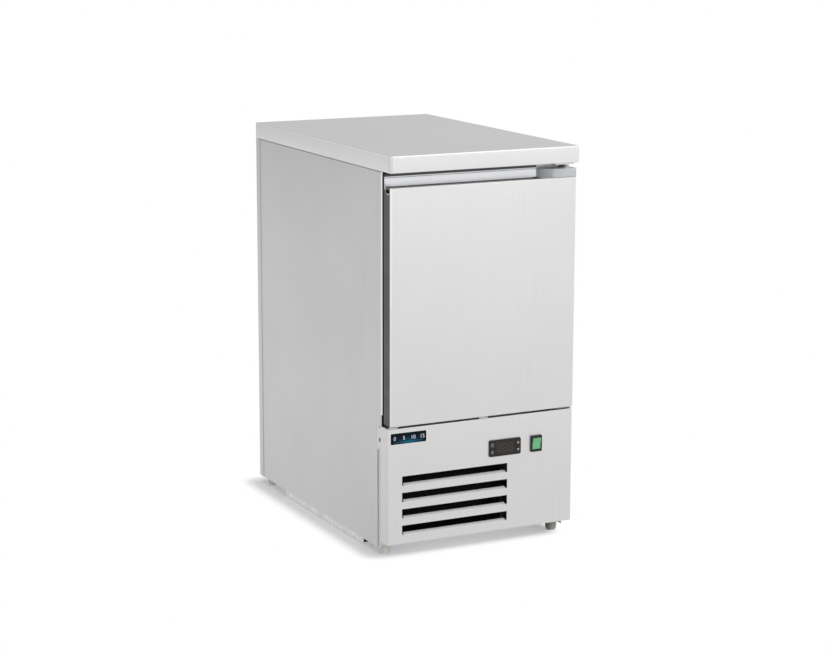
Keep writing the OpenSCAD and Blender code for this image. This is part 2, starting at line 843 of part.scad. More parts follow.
// Space of the display window, grown by a gap, from in front of the bezel to a depth below it
module lens_box(inset, depth) {
    block([ctrl_x - lens_w / 2 + inset, panel_front - ctrl_t - past, ctrl_z - lens_h / 2 + inset],
        [ctrl_x + lens_w / 2 - inset, panel_front - ctrl_t - past + depth, ctrl_z + lens_h / 2 - inset]);
}

// Space of one key, grown by a gap, from in front of the bezel to a depth below it
module key_box(sx, sz, gap, depth) {
    x = ctrl_x + sx * key_dx;
    z = ctrl_z + sz * key_dz;
    block([x - key_w / 2 - gap, panel_front - ctrl_t - past, z - key_h / 2 - gap],
        [x + key_w / 2 + gap, panel_front - ctrl_t - past + depth, z + key_h / 2 + gap]);
}

module thermostat_display() {
    y0 = panel_front - ctrl_t + lens_sink - lens_t;
    color([0.12, 0.09, 0.08]) block([ctrl_x - lens_w / 2 + key_gap, y0, ctrl_z - lens_h / 2 + key_gap],
        [ctrl_x + lens_w / 2 - key_gap, y0 + lens_t, ctrl_z + lens_h / 2 - key_gap]);
}

// One key, which stands a little out of the bezel
module key(sx, sz) {
    y0 = panel_front - ctrl_t - key_out;
    x = ctrl_x + sx * key_dx;
    z = ctrl_z + sz * key_dz;
    color([0.13, 0.12, 0.12]) along_y(y0, y0 + key_t)
        round_rect([x - key_w / 2, z - key_h / 2], [x + key_w / 2, z + key_h / 2], key_corner);
}

module key_set() {
    key(-1, 1);
}

module key_defrost() {
    key(-1, -1);
}

module key_up() {
    key(1, 1);
}

module key_down() {
    key(1, -1);
}

module switch_housing() {
    color([0.05, 0.05, 0.05]) difference() {
        union() {
            along_y(panel_front - switch_t, panel_front)
                round_rect([switch_x - switch_w / 2, ctrl_z - switch_h / 2],
                    [switch_x + switch_w / 2, ctrl_z + switch_h / 2], switch_corner);
            block([switch_x - switch_body.x / 2, panel_front, ctrl_z - switch_body.y / 2],
                [switch_x + switch_body.x / 2, panel_front + switch_depth, ctrl_z + switch_body.y / 2]);
        }
        rod_x(switch_x - rocker_w / 2 - seat, switch_x + rocker_w / 2 + seat, rocker_y, ctrl_z,
            rocker_r + rocker_gap);
        rod_x(switch_x - switch_body.x / 2 - past, switch_x + switch_body.x / 2 + past, rocker_y, ctrl_z,
            rocker_pin_r + rocker_pin_fit);
    }
}

// Rocker with its lower half pressed in, its two faces meeting in a shallow valley
module switch_rocker() {
    side = switch_body.x / 2;
    color([0.3, 0.72, 0.45]) union() {
        translate([0, rocker_y, ctrl_z]) rotate([rocker_travel / 2, 0, 0])
            translate([0, -rocker_y, -ctrl_z]) intersection() {
                rod_x(switch_x - rocker_w / 2, switch_x + rocker_w / 2, rocker_y, ctrl_z, rocker_r);
                union() for (half = [-1, 1])
                    translate([switch_x - rocker_w / 2, rocker_y, ctrl_z])
                        rotate([half * rocker_travel / 2, 0, 0])
                            translate([0, -rocker_face, half < 0 ? -rocker_r - past : 0])
                                cube([rocker_w, rocker_face + rocker_back, rocker_r + past]);
            }
        rod_x(switch_x - side, switch_x + side, rocker_y, ctrl_z, rocker_pin_r);
    }
}

module compressor() {
    dome_r = 28;
    seam_h = 5;
    foot_out = 16;
    foot_corner = 14;
    stub_root = 2;
    color([0.1, 0.1, 0.11]) difference() {
        union() {
            translate([comp_at.x, comp_at.y, comp_z0]) {
                rotate_extrude() intersection() {
                    round_rect([-comp_r, 0], [comp_r, comp_h], dome_r);
                    square([comp_r, comp_h]);
                }
                translate([0, 0, comp_h / 2]) cylinder(h = seam_h, r = comp_r + seam_out);
            }
            along_z(comp_plate_z, comp_z0)
                translate(comp_at) round_rect([-grommet_dx - foot_out, -grommet_dy - foot_out],
                    [grommet_dx + foot_out, grommet_dy + foot_out], foot_corner);
            for (i = [0, 1])
                rod_z(comp_top - stub_root, comp_top + stub_len, comp_at.x, stub_y[i],
                    stub_r[i] + stub_wall);
        }
        for (i = [0, 1])
            rod_z(comp_top, comp_top + stub_len + past, comp_at.x, stub_y[i], stub_r[i] + stub_fit);
        rod_z(comp_z0 + comp_wall, comp_top - comp_wall, comp_at.x, comp_at.y, comp_r - comp_wall);
    }
}

module compressor_relay_box() {
    overlap = 8;
    low_z = comp_z0 + 40;
    size = [40, 56, 64];
    corner_r = 4;
    x0 = comp_at.x + comp_r - overlap;
    color([0.15, 0.15, 0.15]) difference() {
        along_z(low_z, low_z + size.z)
            round_rect([x0, comp_at.y - size.y / 2], [x0 + size.x, comp_at.y + size.y / 2], corner_r);
        rod_z(comp_z0, comp_top, comp_at.x, comp_at.y, comp_r + seam_out + seat);
    }
}

module compressor_grommets() {
    rim_r = 12;
    waist_r = 8;
    waist_z0 = pan_top + 5;
    waist_z1 = comp_plate_z - 4;
    color([0.06, 0.06, 0.06]) for (x = [-grommet_dx, grommet_dx], y = [-grommet_dy, grommet_dy]) {
        rod_z(pan_top, waist_z0, comp_at.x + x, comp_at.y + y, rim_r);
        rod_z(waist_z0, waist_z1, comp_at.x + x, comp_at.y + y, waist_r);
        rod_z(waist_z1, comp_plate_z, comp_at.x + x, comp_at.y + y, rim_r);
    }
}

// Block of fins between x0 and x1: a comb drawn in X and Y and extruded along Z
module fin_block(x0, x1, y0, y1, z0, z1, depth) {
    count = floor((x1 - x0 - fin_pitch) / fin_pitch);
    fin = fin_share * fin_pitch;
    along_z(z0, z1) difference() {
        translate([x0, y0]) square([x1 - x0, y1 - y0]);
        for (i = [0 : count - 1], y = [y0 - past, y1 - depth])
            translate([x0 + fin + i * fin_pitch, y]) square([fin_pitch - fin, depth + past]);
    }
}

// Return bends of a coil's tubes, standing out of the end plate at x and pointing to side s
module return_bends(x, s, y, z0, step, count, bend_r, r) {
    for (i = [0 : count - 1])
        translate([x, y, z0 + i * step]) rotate([0, s > 0 ? 0 : 180, 0]) rotate([90, 0, 0])
            rotate([0, 0, -90]) rotate_extrude(angle = 180) translate([bend_r, 0]) circle(r);
}

module condenser_coil() {
    step = cond_h / 5;
    bend = step / 4;
    bends = 4;
    tube_r = 4.5;
    row_dy = 11;
    left_bend_z = pan_top + 30;
    right_bend_z = pan_top + 50;
    fin_z0 = pan_top + 6;
    fin_z1 = pan_top + cond_h - 4;
    color([0.6, 0.6, 0.61]) union() {
        fin_block(cond_x0 + end_plate_t, cond_x0 + cond_w - end_plate_t, cond_y0 + fin_inset,
            cond_y1 - fin_inset, fin_z0, fin_z1, fin_gap_depth);
        for (x = [cond_x0, cond_x0 + cond_w - end_plate_t])
            block([x, cond_y0, pan_top], [x + end_plate_t, cond_y1, pan_top + cond_h]);
        return_bends(cond_x0 + end_plate_t / 2, -1, coil_pipe_y - row_dy, left_bend_z,
            step, bends, bend, tube_r);
        return_bends(cond_x0 + cond_w - end_plate_t / 2, 1, coil_pipe_y + row_dy, right_bend_z,
            step, bends, bend, tube_r);
    }
}

module condenser_shroud() {
    y0 = cond_y1 + seat;
    post_x = ring_r + 8;
    post_half = 2;
    arm_disc_r = motor_r - 6;
    arm_hole_r = shaft_r + 4;
    color([0.12, 0.12, 0.13]) union() {
        difference() {
            block([cond_x0, y0, pan_top], [cond_x0 + cond_w, y0 + shroud_t, pan_top + cond_h]);
            rod_y(y0 - past, y0 + shroud_t + past, cond_mid, fan_z, ring_r - shroud_t);
        }
        difference() {
            rod_y(y0, y0 + shroud_t + ring_len, cond_mid, fan_z, ring_r);
            rod_y(y0 - past, y0 + shroud_t + ring_len + past, cond_mid, fan_z, ring_r - shroud_t);
        }
        for (s = [-1, 1])
            block([cond_mid + s * post_x - post_half, y0, fan_z - arm_half_h],
                [cond_mid + s * post_x + post_half, arm_y + arm_t, fan_z + arm_half_h]);
        difference() {
            union() {
                block([cond_mid - post_x, arm_y, fan_z - arm_half_h],
                    [cond_mid + post_x, arm_y + arm_t, fan_z + arm_half_h]);
                rod_y(arm_y, arm_y + arm_t, cond_mid, fan_z, arm_disc_r);
            }
            rod_y(arm_y - past, arm_y + arm_t + past, cond_mid, fan_z, arm_hole_r);
        }
    }
}

module condenser_fan_motor() {
    y0 = arm_y + arm_t;
    cap_r = motor_r - 14;
    cap_t = 6;
    color([0.2, 0.2, 0.21]) difference() {
        union() {
            rod_y(y0, y0 + motor_len, cond_mid, fan_z, motor_r);
            rod_y(y0 + motor_len, y0 + motor_len + cap_t, cond_mid, fan_z, cap_r);
        }
        rod_y(y0 - past, y0 + cond_shaft_in + shaft_play, cond_mid, fan_z, shaft_r + shaft_fit);
    }
}

// Axial fan: hub, shaft and pitched blades about an axis along Y
module axial_fan(x, y, z, r, hub, blades, chord, shaft_to) {
    hub_half = 12;
    reach = 20;
    pitch_angle = 32;
    blade_t = 1.8;
    root = 3;
    rod_y(y - hub_half, y + hub_half, x, z, hub);
    rod_y(y, shaft_to, x, z, shaft_r);
    intersection() {
        rod_y(y - reach, y + reach, x, z, r);
        for (i = [0 : blades - 1]) translate([x, y, z]) rotate([0, i * 360 / blades, 0])
            rotate([0, 0, pitch_angle])
                translate([-chord / 2, -blade_t / 2, hub - root]) cube([chord, blade_t, r]);
    }
}

module condenser_fan_blade() {
    color([0.75, 0.76, 0.78])
        axial_fan(cond_mid, fan_y, fan_z, cond_fan_r, hub_r, blades = 5, chord = 38,
            shaft_to = arm_y + arm_t + cond_shaft_in);
}

module filter_drier() {
    neck = 14;
    color([0.72, 0.45, 0.3]) {
        rod_y(drier_y[0] + neck, drier_y[1] - neck, coil_pipe_x, coil_out_z, drier_r);
        translate([coil_pipe_x, drier_y[0] + neck, coil_out_z]) rotate([90, 0, 0])
            cylinder(h = neck, r1 = drier_r, r2 = pressure_r + 1);
        translate([coil_pipe_x, drier_y[1] - neck, coil_out_z]) rotate([-90, 0, 0])
            cylinder(h = neck, r1 = drier_r, r2 = pressure_r + 1);
    }
}

module pressure_pipes() {
    end_x = cond_x0 + cond_w + seat;
    color([0.75, 0.45, 0.28]) {
        pipe([[comp_at.x, stub_y[0], comp_top + 1], [comp_at.x, stub_y[0], over_z],
            [coil_pipe_x, stub_y[0], over_z], [coil_pipe_x, coil_pipe_y, over_z],
            [coil_pipe_x, coil_pipe_y, coil_in_z], [end_x, coil_pipe_y, coil_in_z]], pressure_r);
        pipe([[end_x, coil_pipe_y, coil_out_z], [coil_pipe_x, coil_pipe_y, coil_out_z],
            [coil_pipe_x, drier_y[0] - seat, coil_out_z]], pressure_r);
    }
}

module suction_and_capillary() {
    coil_mid = coil_y0 + coil_d / 2;
    hole_z = suction_z - riser_r;
    color([0.75, 0.45, 0.28]) {
        pipe([[coil_half + seat, coil_mid, hole_z], [suction_x, coil_mid, hole_z],
            [suction_x, riser_y, hole_z], [suction_x, riser_y, over_z],
            [suction_x, stub_y[1], over_z], [comp_at.x, stub_y[1], over_z],
            [comp_at.x, stub_y[1], comp_top + 1]], suction_r);
        pipe([[coil_pipe_x, drier_y[1] + seat, coil_out_z], [coil_pipe_x, drier_y[1] + 12, coil_out_z],
            [capillary_run_x, drier_y[1] + 12, coil_out_z], [capillary_run_x, riser_y, coil_out_z],
            [capillary_x, riser_y, coil_out_z], [capillary_x, riser_y, hole_z - 8],
            [capillary_x, cav_y1 - 20, hole_z - 8]], capillary_r);
    }
}

// Open tray between two corners
module tray(low, size, wall) {
    difference() {
        translate(low) cube(size);
        translate(low + [wall, wall, wall]) cube(size - [2 * wall, 2 * wall, 0]);
    }
}

module evaporating_tray() {
    color([0.15, 0.15, 0.16]) tray([tray_at.x, tray_at.y, pan_top], tray_size, tray_wall);
}

module drain_hose() {
    start_y = drip_y0 + 58;
    end_z = pan_top + 20;
    bore_r = drain_r - 1.5;
    color([0.8, 0.8, 0.78]) difference() {
        pipe([[drain_x, start_y, drain_z],
            [drain_x, riser_y, drain_z], [drain_x, riser_y, end_z]], drain_r);
        pipe([[drain_x, start_y - past, drain_z], [drain_x, riser_y, drain_z],
            [drain_x, riser_y, end_z - past]], bore_r);
    }
}

module terminal_box() {
    low = [front_y + 93, pan_top + 60];
    size = [100, 110];
    depth = 52;
    corner_r = 5;
    color([0.8, 0.8, 0.8]) along_x(in_x - depth, in_x) round_rect(low, low + size, corner_r);
}

module cable_gland() {
    inner_y = dish_y - 11;
    nut_t = 6;
    flange_t = 4;
    cap_r = gland_flange_r - 2;
    cap_y = rear_y - 0.5;
    color([0.08, 0.08, 0.08]) difference() {
        union() {
            rod_y(inner_y, dish_y + sheet, gland_x, gland_z, gland_r);
            rod_y(dish_y - nut_t, dish_y, gland_x, gland_z, gland_flange_r);
            rod_y(dish_y + sheet, dish_y + sheet + flange_t, gland_x, gland_z, gland_flange_r);
            rod_y(dish_y + sheet + flange_t, cap_y, gland_x, gland_z, cap_r);
        }
        rod_y(inner_y - past, rear_y + past, gland_x, gland_z, gland_bore / 2);
    }
}

module evaporator_coil() {
    fin_end = 2;
    bends = 3;
    bend_r = 8;
    tube_r = 4;
    bend_step = 36;
    first_bend_z = coil_z0 + 24;
    color([0.75, 0.75, 0.76]) union() {
        fin_block(-coil_half + end_plate_t, coil_half - end_plate_t, coil_y0 + fin_inset,
            coil_y0 + coil_d - fin_inset, coil_z0 + fin_end, coil_z0 + coil_h - fin_end, fin_gap_depth);
        for (x = [-coil_half, coil_half - end_plate_t])
            block([x, coil_y0, coil_z0], [x + end_plate_t, coil_y0 + coil_d, coil_z0 + coil_h]);
        return_bends(-coil_half + end_plate_t / 2, -1, coil_y0 + coil_d / 2, first_bend_z,
            bend_step, bends, bend_r, tube_r);
    }
}

module evaporator_cover() {
    x = evap_w / 2;
    hole_r = evap_fan_r + evap_fan_gap;
    guard_rings = [hole_r - 11, hole_r - 23, hole_r - 35];
    ring_half = 1;
    spoke_w = 2.4;
    post_x = hole_r + 4;
    post_half = 2;
    bar_half_h = 8;
    bar_y = evap_fan_y + evap_bar;
    color([0.85, 0.86, 0.86]) union() {
        difference() {
            block([-x, evap_y0, evap_z0], [x, cav_y1 - seat, cav_z1 - seat]);
            block([-x + evap_wall, evap_y0 + evap_wall, evap_z0 - past],
                [x - evap_wall, cav_y1, cav_z1 - seat - evap_wall]);
            rod_y(evap_y0 - past, evap_y0 + evap_wall + past, 0, evap_fan_z, hole_r);
        }
        for (r = guard_rings) difference() {
            rod_y(evap_y0, evap_y0 + evap_wall, 0, evap_fan_z, r + ring_half);
            rod_y(evap_y0 - past, evap_y0 + evap_wall + past, 0, evap_fan_z, r - ring_half);
        }
        for (a = [0, 90]) translate([0, evap_y0, evap_fan_z]) rotate([0, a, 0])
            translate([-hole_r - past, 0, -spoke_w / 2]) cube([2 * (hole_r + past), evap_wall, spoke_w]);
        for (s = [-1, 1]) block([s * post_x - post_half, evap_y0, evap_fan_z - bar_half_h],
            [s * post_x + post_half, bar_y + arm_t, evap_fan_z + bar_half_h]);
        difference() {
            block([-post_x, bar_y, evap_fan_z - bar_half_h],
                [post_x, bar_y + arm_t, evap_fan_z + bar_half_h]);
            rod_y(bar_y - past, bar_y + arm_t + past, 0, evap_fan_z, shaft_r + 2);
        }
    }
}

module evaporator_fan_motor() {
    y0 = evap_fan_y + evap_bar + arm_t;
    coil_gap = 5;
    body_r = 20;
    color([0.2, 0.2, 0.21]) difference() {
        rod_y(y0, coil_y0 - coil_gap, 0, evap_fan_z, body_r);
        rod_y(y0 - past, y0 + evap_shaft_in + shaft_play, 0, evap_fan_z, shaft_r + shaft_fit);
    }
}

module evaporator_fan_blade() {
    guard_gap = 1.5;
    shaft_end = evap_fan_y + evap_bar + arm_t + evap_shaft_in;
    color([0.1, 0.1, 0.1]) intersection() {
        axial_fan(0, evap_fan_y, evap_fan_z, evap_fan_r, hub = 14, blades = 5, chord = 20,
            shaft_to = shaft_end);
        block([-evap_fan_r - past, evap_y0 + evap_wall + guard_gap, evap_z0],
            [evap_fan_r + past, shaft_end + past, cav_z1]);
    }
}

module evaporator_drip_tray() {
    left_over = 25;
    right_over = 5;
    size = [2 * coil_half + left_over + right_over, cav_y1 - seat - drip_y0, 18];
    wall = 1.2;
    hose_fit = 0.1;
    color([0.8, 0.81, 0.82]) difference() {
        tray([-coil_half - left_over, drip_y0, drip_z0], size, wall);
        rod_y(drip_y0 + size.y / 2, cav_y1, drain_x, drain_z, drain_r + hose_fit);
    }
}

module temperature_probe() {
    probe_r = 3.5;
    probe_x = [-40, -8];
    clip_x = [-28, -20];
    clip_half_h = 6;
    probe_z = evap_z0 - 40;
    back_y = cav_y1 - seat;
    color([0.7, 0.7, 0.72]) {
        rod_x(probe_x[0], probe_x[1], back_y - probe_r, probe_z, probe_r);
        block([clip_x[0], back_y - probe_r, probe_z - clip_half_h],
            [clip_x[1], back_y, probe_z + clip_half_h]);
    }
}

// Wall strips of each side with the runner that carries the shelf
module shelf_racks() {
    strip_end = 8;
    flange_h = 14;
    color([0.75, 0.76, 0.77]) both_sides() union() {
        for (y = strip_y)
            block([-cav_x, y, cav_z0 + strip_end], [-cav_x + rack_t, y + strip_w, cav_z1 - strip_end]);
        block([-cav_x + rack_t, rack_y[0], shelf_z - runner_t],
            [-cav_x + rack_t + runner_w, rack_y[1], shelf_z]);
        block([-cav_x + rack_t, rack_y[0], shelf_z - runner_t],
            [-cav_x + rack_t + runner_t, rack_y[1], shelf_z + flange_h]);
    }
}

module wire_shelf() {
    x = shelf_w / 2 - shelf_rim_r;
    y0 = shelf_y0 + shelf_rim_r;
    y1 = shelf_y1 - shelf_rim_r;
    z = shelf_z + shelf_rim_r;
    wire_z = z + shelf_rim_r - shelf_wire_r;
    weld = 0.4;
    count = floor((2 * x - shelf_pitch) / shelf_pitch);
    color([0.8, 0.8, 0.82]) union() {
        pipe([[-x, y0, z], [x, y0, z], [x, y1, z], [-x, y1, z], [-x, y0, z]], shelf_rim_r);
        translate([-x, y0, z]) sphere(shelf_rim_r);
        for (i = [0 : count - 1])
            rod_y(y0, y1, (i - (count - 1) / 2) * shelf_pitch, wire_z, shelf_wire_r);
        for (y = [(2 * y0 + y1) / 3, (y0 + 2 * y1) / 3])
            rod_x(-x, x, y, wire_z - 2 * shelf_wire_r + weld, shelf_wire_r);
    }
}

module door_skin() {
    color([0.86, 0.86, 0.86]) difference() {
        front_slab([-door_x, door_front, door_z0],
            [door_x, door_front + skin_fold, skin_top], fold_out);
        block([-door_x + sheet, door_front + sheet, door_z0 + sheet],
            [door_x - sheet, door_front + skin_fold + past, skin_top - sheet]);
    }
}

// Bulk of the grip channel, in Y and Z, grown by a gap
module grip_bulk(gap) {
    translate([grip_y, skin_top]) circle(grip_out + gap);
    translate([grip_y, skin_top]) square([door_back - grip_y + gap, grip_top - skin_top + past]);
    translate([grip_y - grip_out - gap, skin_top]) square([2 * grip_out + 2 * gap, past]);
}

// Plastic frame round the sides and foot of the door, with the boss of the lower bush
module door_edge_frame() {
    x = door_x - seat;
    y0 = door_front + skin_fold + foam_gap;
    y1 = door_back - inner_t - foam_gap;
    z0 = door_z0 + seat;
    color([0.42, 0.41, 0.4]) difference() {
        union() {
            difference() {
                block([-x, y0, z0], [x, y1, skin_top]);
                block([-x + edge_wall, y0 - past, z0 + edge_wall],
                    [x - edge_wall, y1 + past, skin_top + past]);
            }
            block([hinge_x - boss_half, hinge_y - boss_deep, z0],
                [x - seat, hinge_y + boss_deep, z0 + bush_len + boss_cap]);
        }
        along_x(-x - past, block_left) grip_bulk(seat);
        rod_z(z0 - past, z0 + bush_len + seat, hinge_x, hinge_y, bush_r + bush_fit);
    }
}

module door_foam() {
    color([0.93, 0.88, 0.7]) difference() {
        block([-foam_x, door_front + sheet, door_z0 + sheet + edge_wall],
            [foam_x, door_back - inner_t, skin_top - sheet - foam_gap]);
        along_x(-foam_x - past, foam_x + past) grip_bulk(foam_gap);
        inner_dish(inner_t);
        block([block_left - foam_gap, door_front, skin_top - foam_drop - foam_gap],
            [foam_x + past, door_back, skin_top]);
        block([hinge_x - boss_half - foam_gap, hinge_y - boss_half, door_z0],
            [foam_x + past, hinge_y + boss_half, door_z0 + bush_len + boss_cap + 2]);
    }
}

// Dish pressed into the door's inner panel, grown by a wall
module inner_dish(wall) {
    rim = 18;
    inset = gasket_inset + gasket_w + rim;
    block([-door_x + inset - wall, door_back - dish_depth - wall, door_z0 + inset - wall],
        [door_x - inset + wall, door_back + past, skin_top - inset + wall]);
}

// Inner panel with its dish, raised behind the grip channel
module door_inner_panel() {
    x = door_x - seat;
    color([0.83, 0.84, 0.84]) difference() {
        union() {
            block([-x, door_back - inner_t, door_z0 + seat], [x, door_back, block_top]);
            block([-x, door_back - inner_t, block_top - past],
                [block_left - seat, door_back, grip_top]);
            intersection() {
                inner_dish(inner_t);
                block([-x, door_front, door_z0], [x, door_back, skin_top]);
            }
        }
        inner_dish(0);
    }
}

// One layer of the gasket: a ring, drawn in X and Z, inset from the gasket's edges and extruded
module gasket_layer(inset, y0, y1) {
    x = door_x - gasket_inset - inset;
    z0 = door_z0 + gasket_lift + inset;
    z1 = cav_z1 + gasket_w + gasket_lap - inset;
    ring = gasket_w - 2 * inset;
    along_y(y0, y1) difference() {
        translate([-x, z0]) square([2 * x, z1 - z0]);
        translate([-x + ring, z0 + ring]) square([2 * x - 2 * ring, z1 - z0 - 2 * ring]);
    }
}

module door_gasket() {
    root_t = 2.5;
    lip_t = 3;
    bellows_in = 2.5;
    lip_in = 0.8;
    y1 = front_y - seat;
    color([0.07, 0.07, 0.07]) union() {
        gasket_layer(0, door_back, door_back + root_t);
        gasket_layer(bellows_in, door_back + root_t, y1 - lip_t);
        gasket_layer(lip_in, y1 - lip_t, y1);
    }
}

// Grip channel: a trough between the skin's upper fold and the inner panel's raised edge
module grip_channel() {
    x = door_x - sheet - seat;
    color([0.8, 0.82, 0.86]) along_x(-x, block_left - seat) difference() {
        intersection() {
            translate([grip_y, skin_top]) circle(grip_out);
            translate([grip_y - grip_out, skin_top - grip_out]) square([2 * grip_out, grip_out]);
        }
        translate([grip_y, skin_top]) circle(grip_r);
        translate([grip_y - grip_out - past, skin_top - sheet - seat])
            square([grip_out + past, past + sheet + seat]);
    }
}

// End block of the grip, with a swept face and the bore of the upper bush
module grip_end_block() {
    x1 = door_x - seat;
    sweep_back = [block_left + 4, grip_back - 6];
    sweep_front = [block_x0 - 3, door_front + 1.2];
    color([0.78, 0.8, 0.83]) difference() {
        union() {
            along_z(skin_top + seat, block_top)
                polygon([[block_left, grip_back], sweep_back, sweep_front, [block_x0, door_front],
                    [x1, door_front], [x1, grip_back]]);
            block([block_left, grip_y - grip_out, skin_top - plug_depth],
                [foam_x - seat, grip_back, skin_top - sheet - seat]);
            block([block_left, door_front + skin_fold + past, skin_top - sheet - 2 * seat],
                [foam_x - seat, grip_back, skin_top + past]);
        }
        rod_z(skin_top - block_depth, block_top + past, hinge_x, hinge_y, bush_r + bush_fit);
    }
}

module hinge_bushes() {
    color([0.9, 0.9, 0.88]) {
        difference() {
            union() {
                rod_z(block_top - bush_len, block_top, hinge_x, hinge_y, bush_r);
                rod_z(block_top, block_top + bush_flange_t, hinge_x, hinge_y, bush_flange_r);
            }
            rod_z(block_top - bush_len - past, block_top + bush_flange_t + past, hinge_x, hinge_y,
                hinge_pin_r + hinge_fit);
        }
        difference() {
            union() {
                rod_z(door_z0 + seat, door_z0 + seat + bush_len, hinge_x, hinge_y, bush_r);
                rod_z(door_z0 + seat - bush_flange_t, door_z0 + seat, hinge_x, hinge_y, bush_flange_r);
            }
            rod_z(door_z0 - bush_flange_t, door_z0 + seat + bush_len + past, hinge_x, hinge_y,
                hinge_pin_r + hinge_fit);
        }
    }
}

// Foot with a ribbed cup and its threaded stud
module foot(x, y) {
    rib_r = 1.1;
    rib_z = 3;
    sole_t = 2;
    rim_t = 4;
    rim_out = 0.6;
    stud_root = 2;
    color([0.72, 0.7, 0.66]) translate([x, y, 0]) union() {
        difference() {
            union() {
                cylinder(h = sole_t, r1 = foot_tip_r - 1, r2 = foot_tip_r);
                translate([0, 0, sole_t])
                    cylinder(h = foot_h - sole_t - rim_t, r1 = foot_tip_r, r2 = foot_r - rim_out);
                translate([0, 0, foot_h - rim_t]) cylinder(h = rim_t, r = foot_r);
            }
            for (i = [0 : foot_ribs - 1]) rotate([0, 0, i * 360 / foot_ribs])
                translate([foot_r, 0, rib_z]) cylinder(h = foot_h, r = rib_r);
        }
        translate([0, 0, foot_h - stud_root]) cylinder(h = stud_top - foot_h + stud_root, r = stud_r);
    }
}

module foot_front_left() {
    foot(-foot_x, foot_y[0]);
}

module foot_front_right() {
    foot(foot_x, foot_y[0]);
}

module foot_rear_left() {
    foot(-foot_x, foot_y[1]);
}

module foot_rear_right() {
    foot(foot_x, foot_y[1]);
}

worktop();
worktop_core();
side_panel_left();
side_panel_right();
back_panel();
rear_grille();
base_pan();
base_rails();
floor_plate();
front_frame();
cabinet_foam();
inner_liner();
hinge_plate_top();
hinge_bracket_bottom();
hinge_screws();
front_panel();
front_panel_screws();
temperature_label();
thermostat_housing();
thermostat_display();
key_set();
key_defrost();
key_up();
key_down();
switch_housing();
switch_rocker();
compressor();
compressor_relay_box();
compressor_grommets();
condenser_coil();
condenser_shroud();
condenser_fan_motor();
condenser_fan_blade();
filter_drier();
pressure_pipes();
suction_and_capillary();
evaporating_tray();
drain_hose();
terminal_box();
cable_gland();
evaporator_coil();
evaporator_cover();
evaporator_fan_motor();
evaporator_fan_blade();
evaporator_drip_tray();
temperature_probe();
shelf_racks();
wire_shelf();
door_skin();
door_edge_frame();
door_foam();
door_inner_panel();
door_gasket();
grip_channel();
grip_end_block();
hinge_bushes();
foot_front_left();
foot_front_right();
foot_rear_left();
foot_rear_right();
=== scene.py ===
"""One-door refrigerated prep counter, dressed for rendering.

Sizes are metres in the CAD model's frame: the front faces -Y and the floor is Z = 0.
"""

import json
import math

import bmesh
import bpy
from mathutils import Matrix, Vector


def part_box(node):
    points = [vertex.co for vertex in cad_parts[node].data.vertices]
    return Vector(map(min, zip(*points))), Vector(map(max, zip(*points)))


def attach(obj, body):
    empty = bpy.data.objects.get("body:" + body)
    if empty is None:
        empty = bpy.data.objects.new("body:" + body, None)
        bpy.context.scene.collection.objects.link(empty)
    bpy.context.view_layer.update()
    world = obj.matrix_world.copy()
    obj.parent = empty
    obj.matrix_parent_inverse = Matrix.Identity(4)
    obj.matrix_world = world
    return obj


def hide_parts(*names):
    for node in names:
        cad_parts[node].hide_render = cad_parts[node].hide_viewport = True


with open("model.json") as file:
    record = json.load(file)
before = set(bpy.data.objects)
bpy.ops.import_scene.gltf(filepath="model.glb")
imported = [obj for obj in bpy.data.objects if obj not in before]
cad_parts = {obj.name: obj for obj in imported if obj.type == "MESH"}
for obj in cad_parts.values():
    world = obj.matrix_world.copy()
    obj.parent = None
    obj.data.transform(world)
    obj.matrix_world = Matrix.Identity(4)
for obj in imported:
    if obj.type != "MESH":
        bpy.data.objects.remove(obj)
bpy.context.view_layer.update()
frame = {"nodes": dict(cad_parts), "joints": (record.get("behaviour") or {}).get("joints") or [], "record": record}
nodes = frame["nodes"]
MM = 0.001
SMOOTH_ANGLE = math.radians(32)
WELD = 0.02 * MM

X_AXIS = Vector((1, 0, 0))
Y_AXIS = Vector((0, 1, 0))
Z_AXIS = Vector((0, 0, 1))


# Wiring of node trees

def wired(owner, kind, *sources, **settings):
    """A node of a material, world or node group, whose first inputs take the given sockets or values."""
    tree = getattr(owner, "node_tree", owner)
    node = tree.nodes.new(kind)
    for setting, value in settings.items():
        setattr(node, setting, value)
    for source, socket in zip(sources, node.inputs):
        if isinstance(source, bpy.types.NodeSocket):
            tree.links.new(source, socket)
        elif source is not None:
            socket.default_value = source
    return node


def reckoned(owner, operation, *sources):
    """A number worked out from others."""
    return wired(owner, "ShaderNodeMath", *sources, operation=operation).outputs[0]


def on_vectors(owner, operation, *sources, result="Vector"):
    """A vector worked out from others, or the number that a length or a distance gives."""
    return wired(owner, "ShaderNodeVectorMath", *sources, operation=operation).outputs[result]


def fitted(owner, value, span, low, high, **settings):
    """A number that runs from low to high, and no further, as the value runs through the span."""
    return wired(owner, "ShaderNodeMapRange", value, *span, low, high, **settings).outputs["Result"]


def object_place(material):
    return wired(material, "ShaderNodeTexCoord").outputs["Object"]


# Materials

NOISE_MIDDLE = (0.3, 0.7)
GRAIN_ALONG, GRAIN_ACROSS = 6.0, 1700.0
CLOUD_SHARE = 0.45
STEEL_CONTRAST = 0.035
PLASTIC_CONTRAST = 0.06


def shader_of(material):
    return material.node_tree.nodes["Principled BSDF"]


def feed(material, socket, source):
    """Links a source to an input of the material's shader."""
    material.node_tree.links.new(source, shader_of(material).inputs[socket])


def new_finish(name, colour, roughness, metallic=0.0, **extra):
    """A Principled material with its plain values set on the shader's own sockets."""
    material = bpy.data.materials.new(name)
    material.use_nodes = True
    values = {"Base Color": (*colour, 1), "Roughness": roughness, "Metallic": metallic, **extra}
    for socket, value in values.items():
        shader_of(material).inputs[socket.replace("_", " ")].default_value = value
    return material


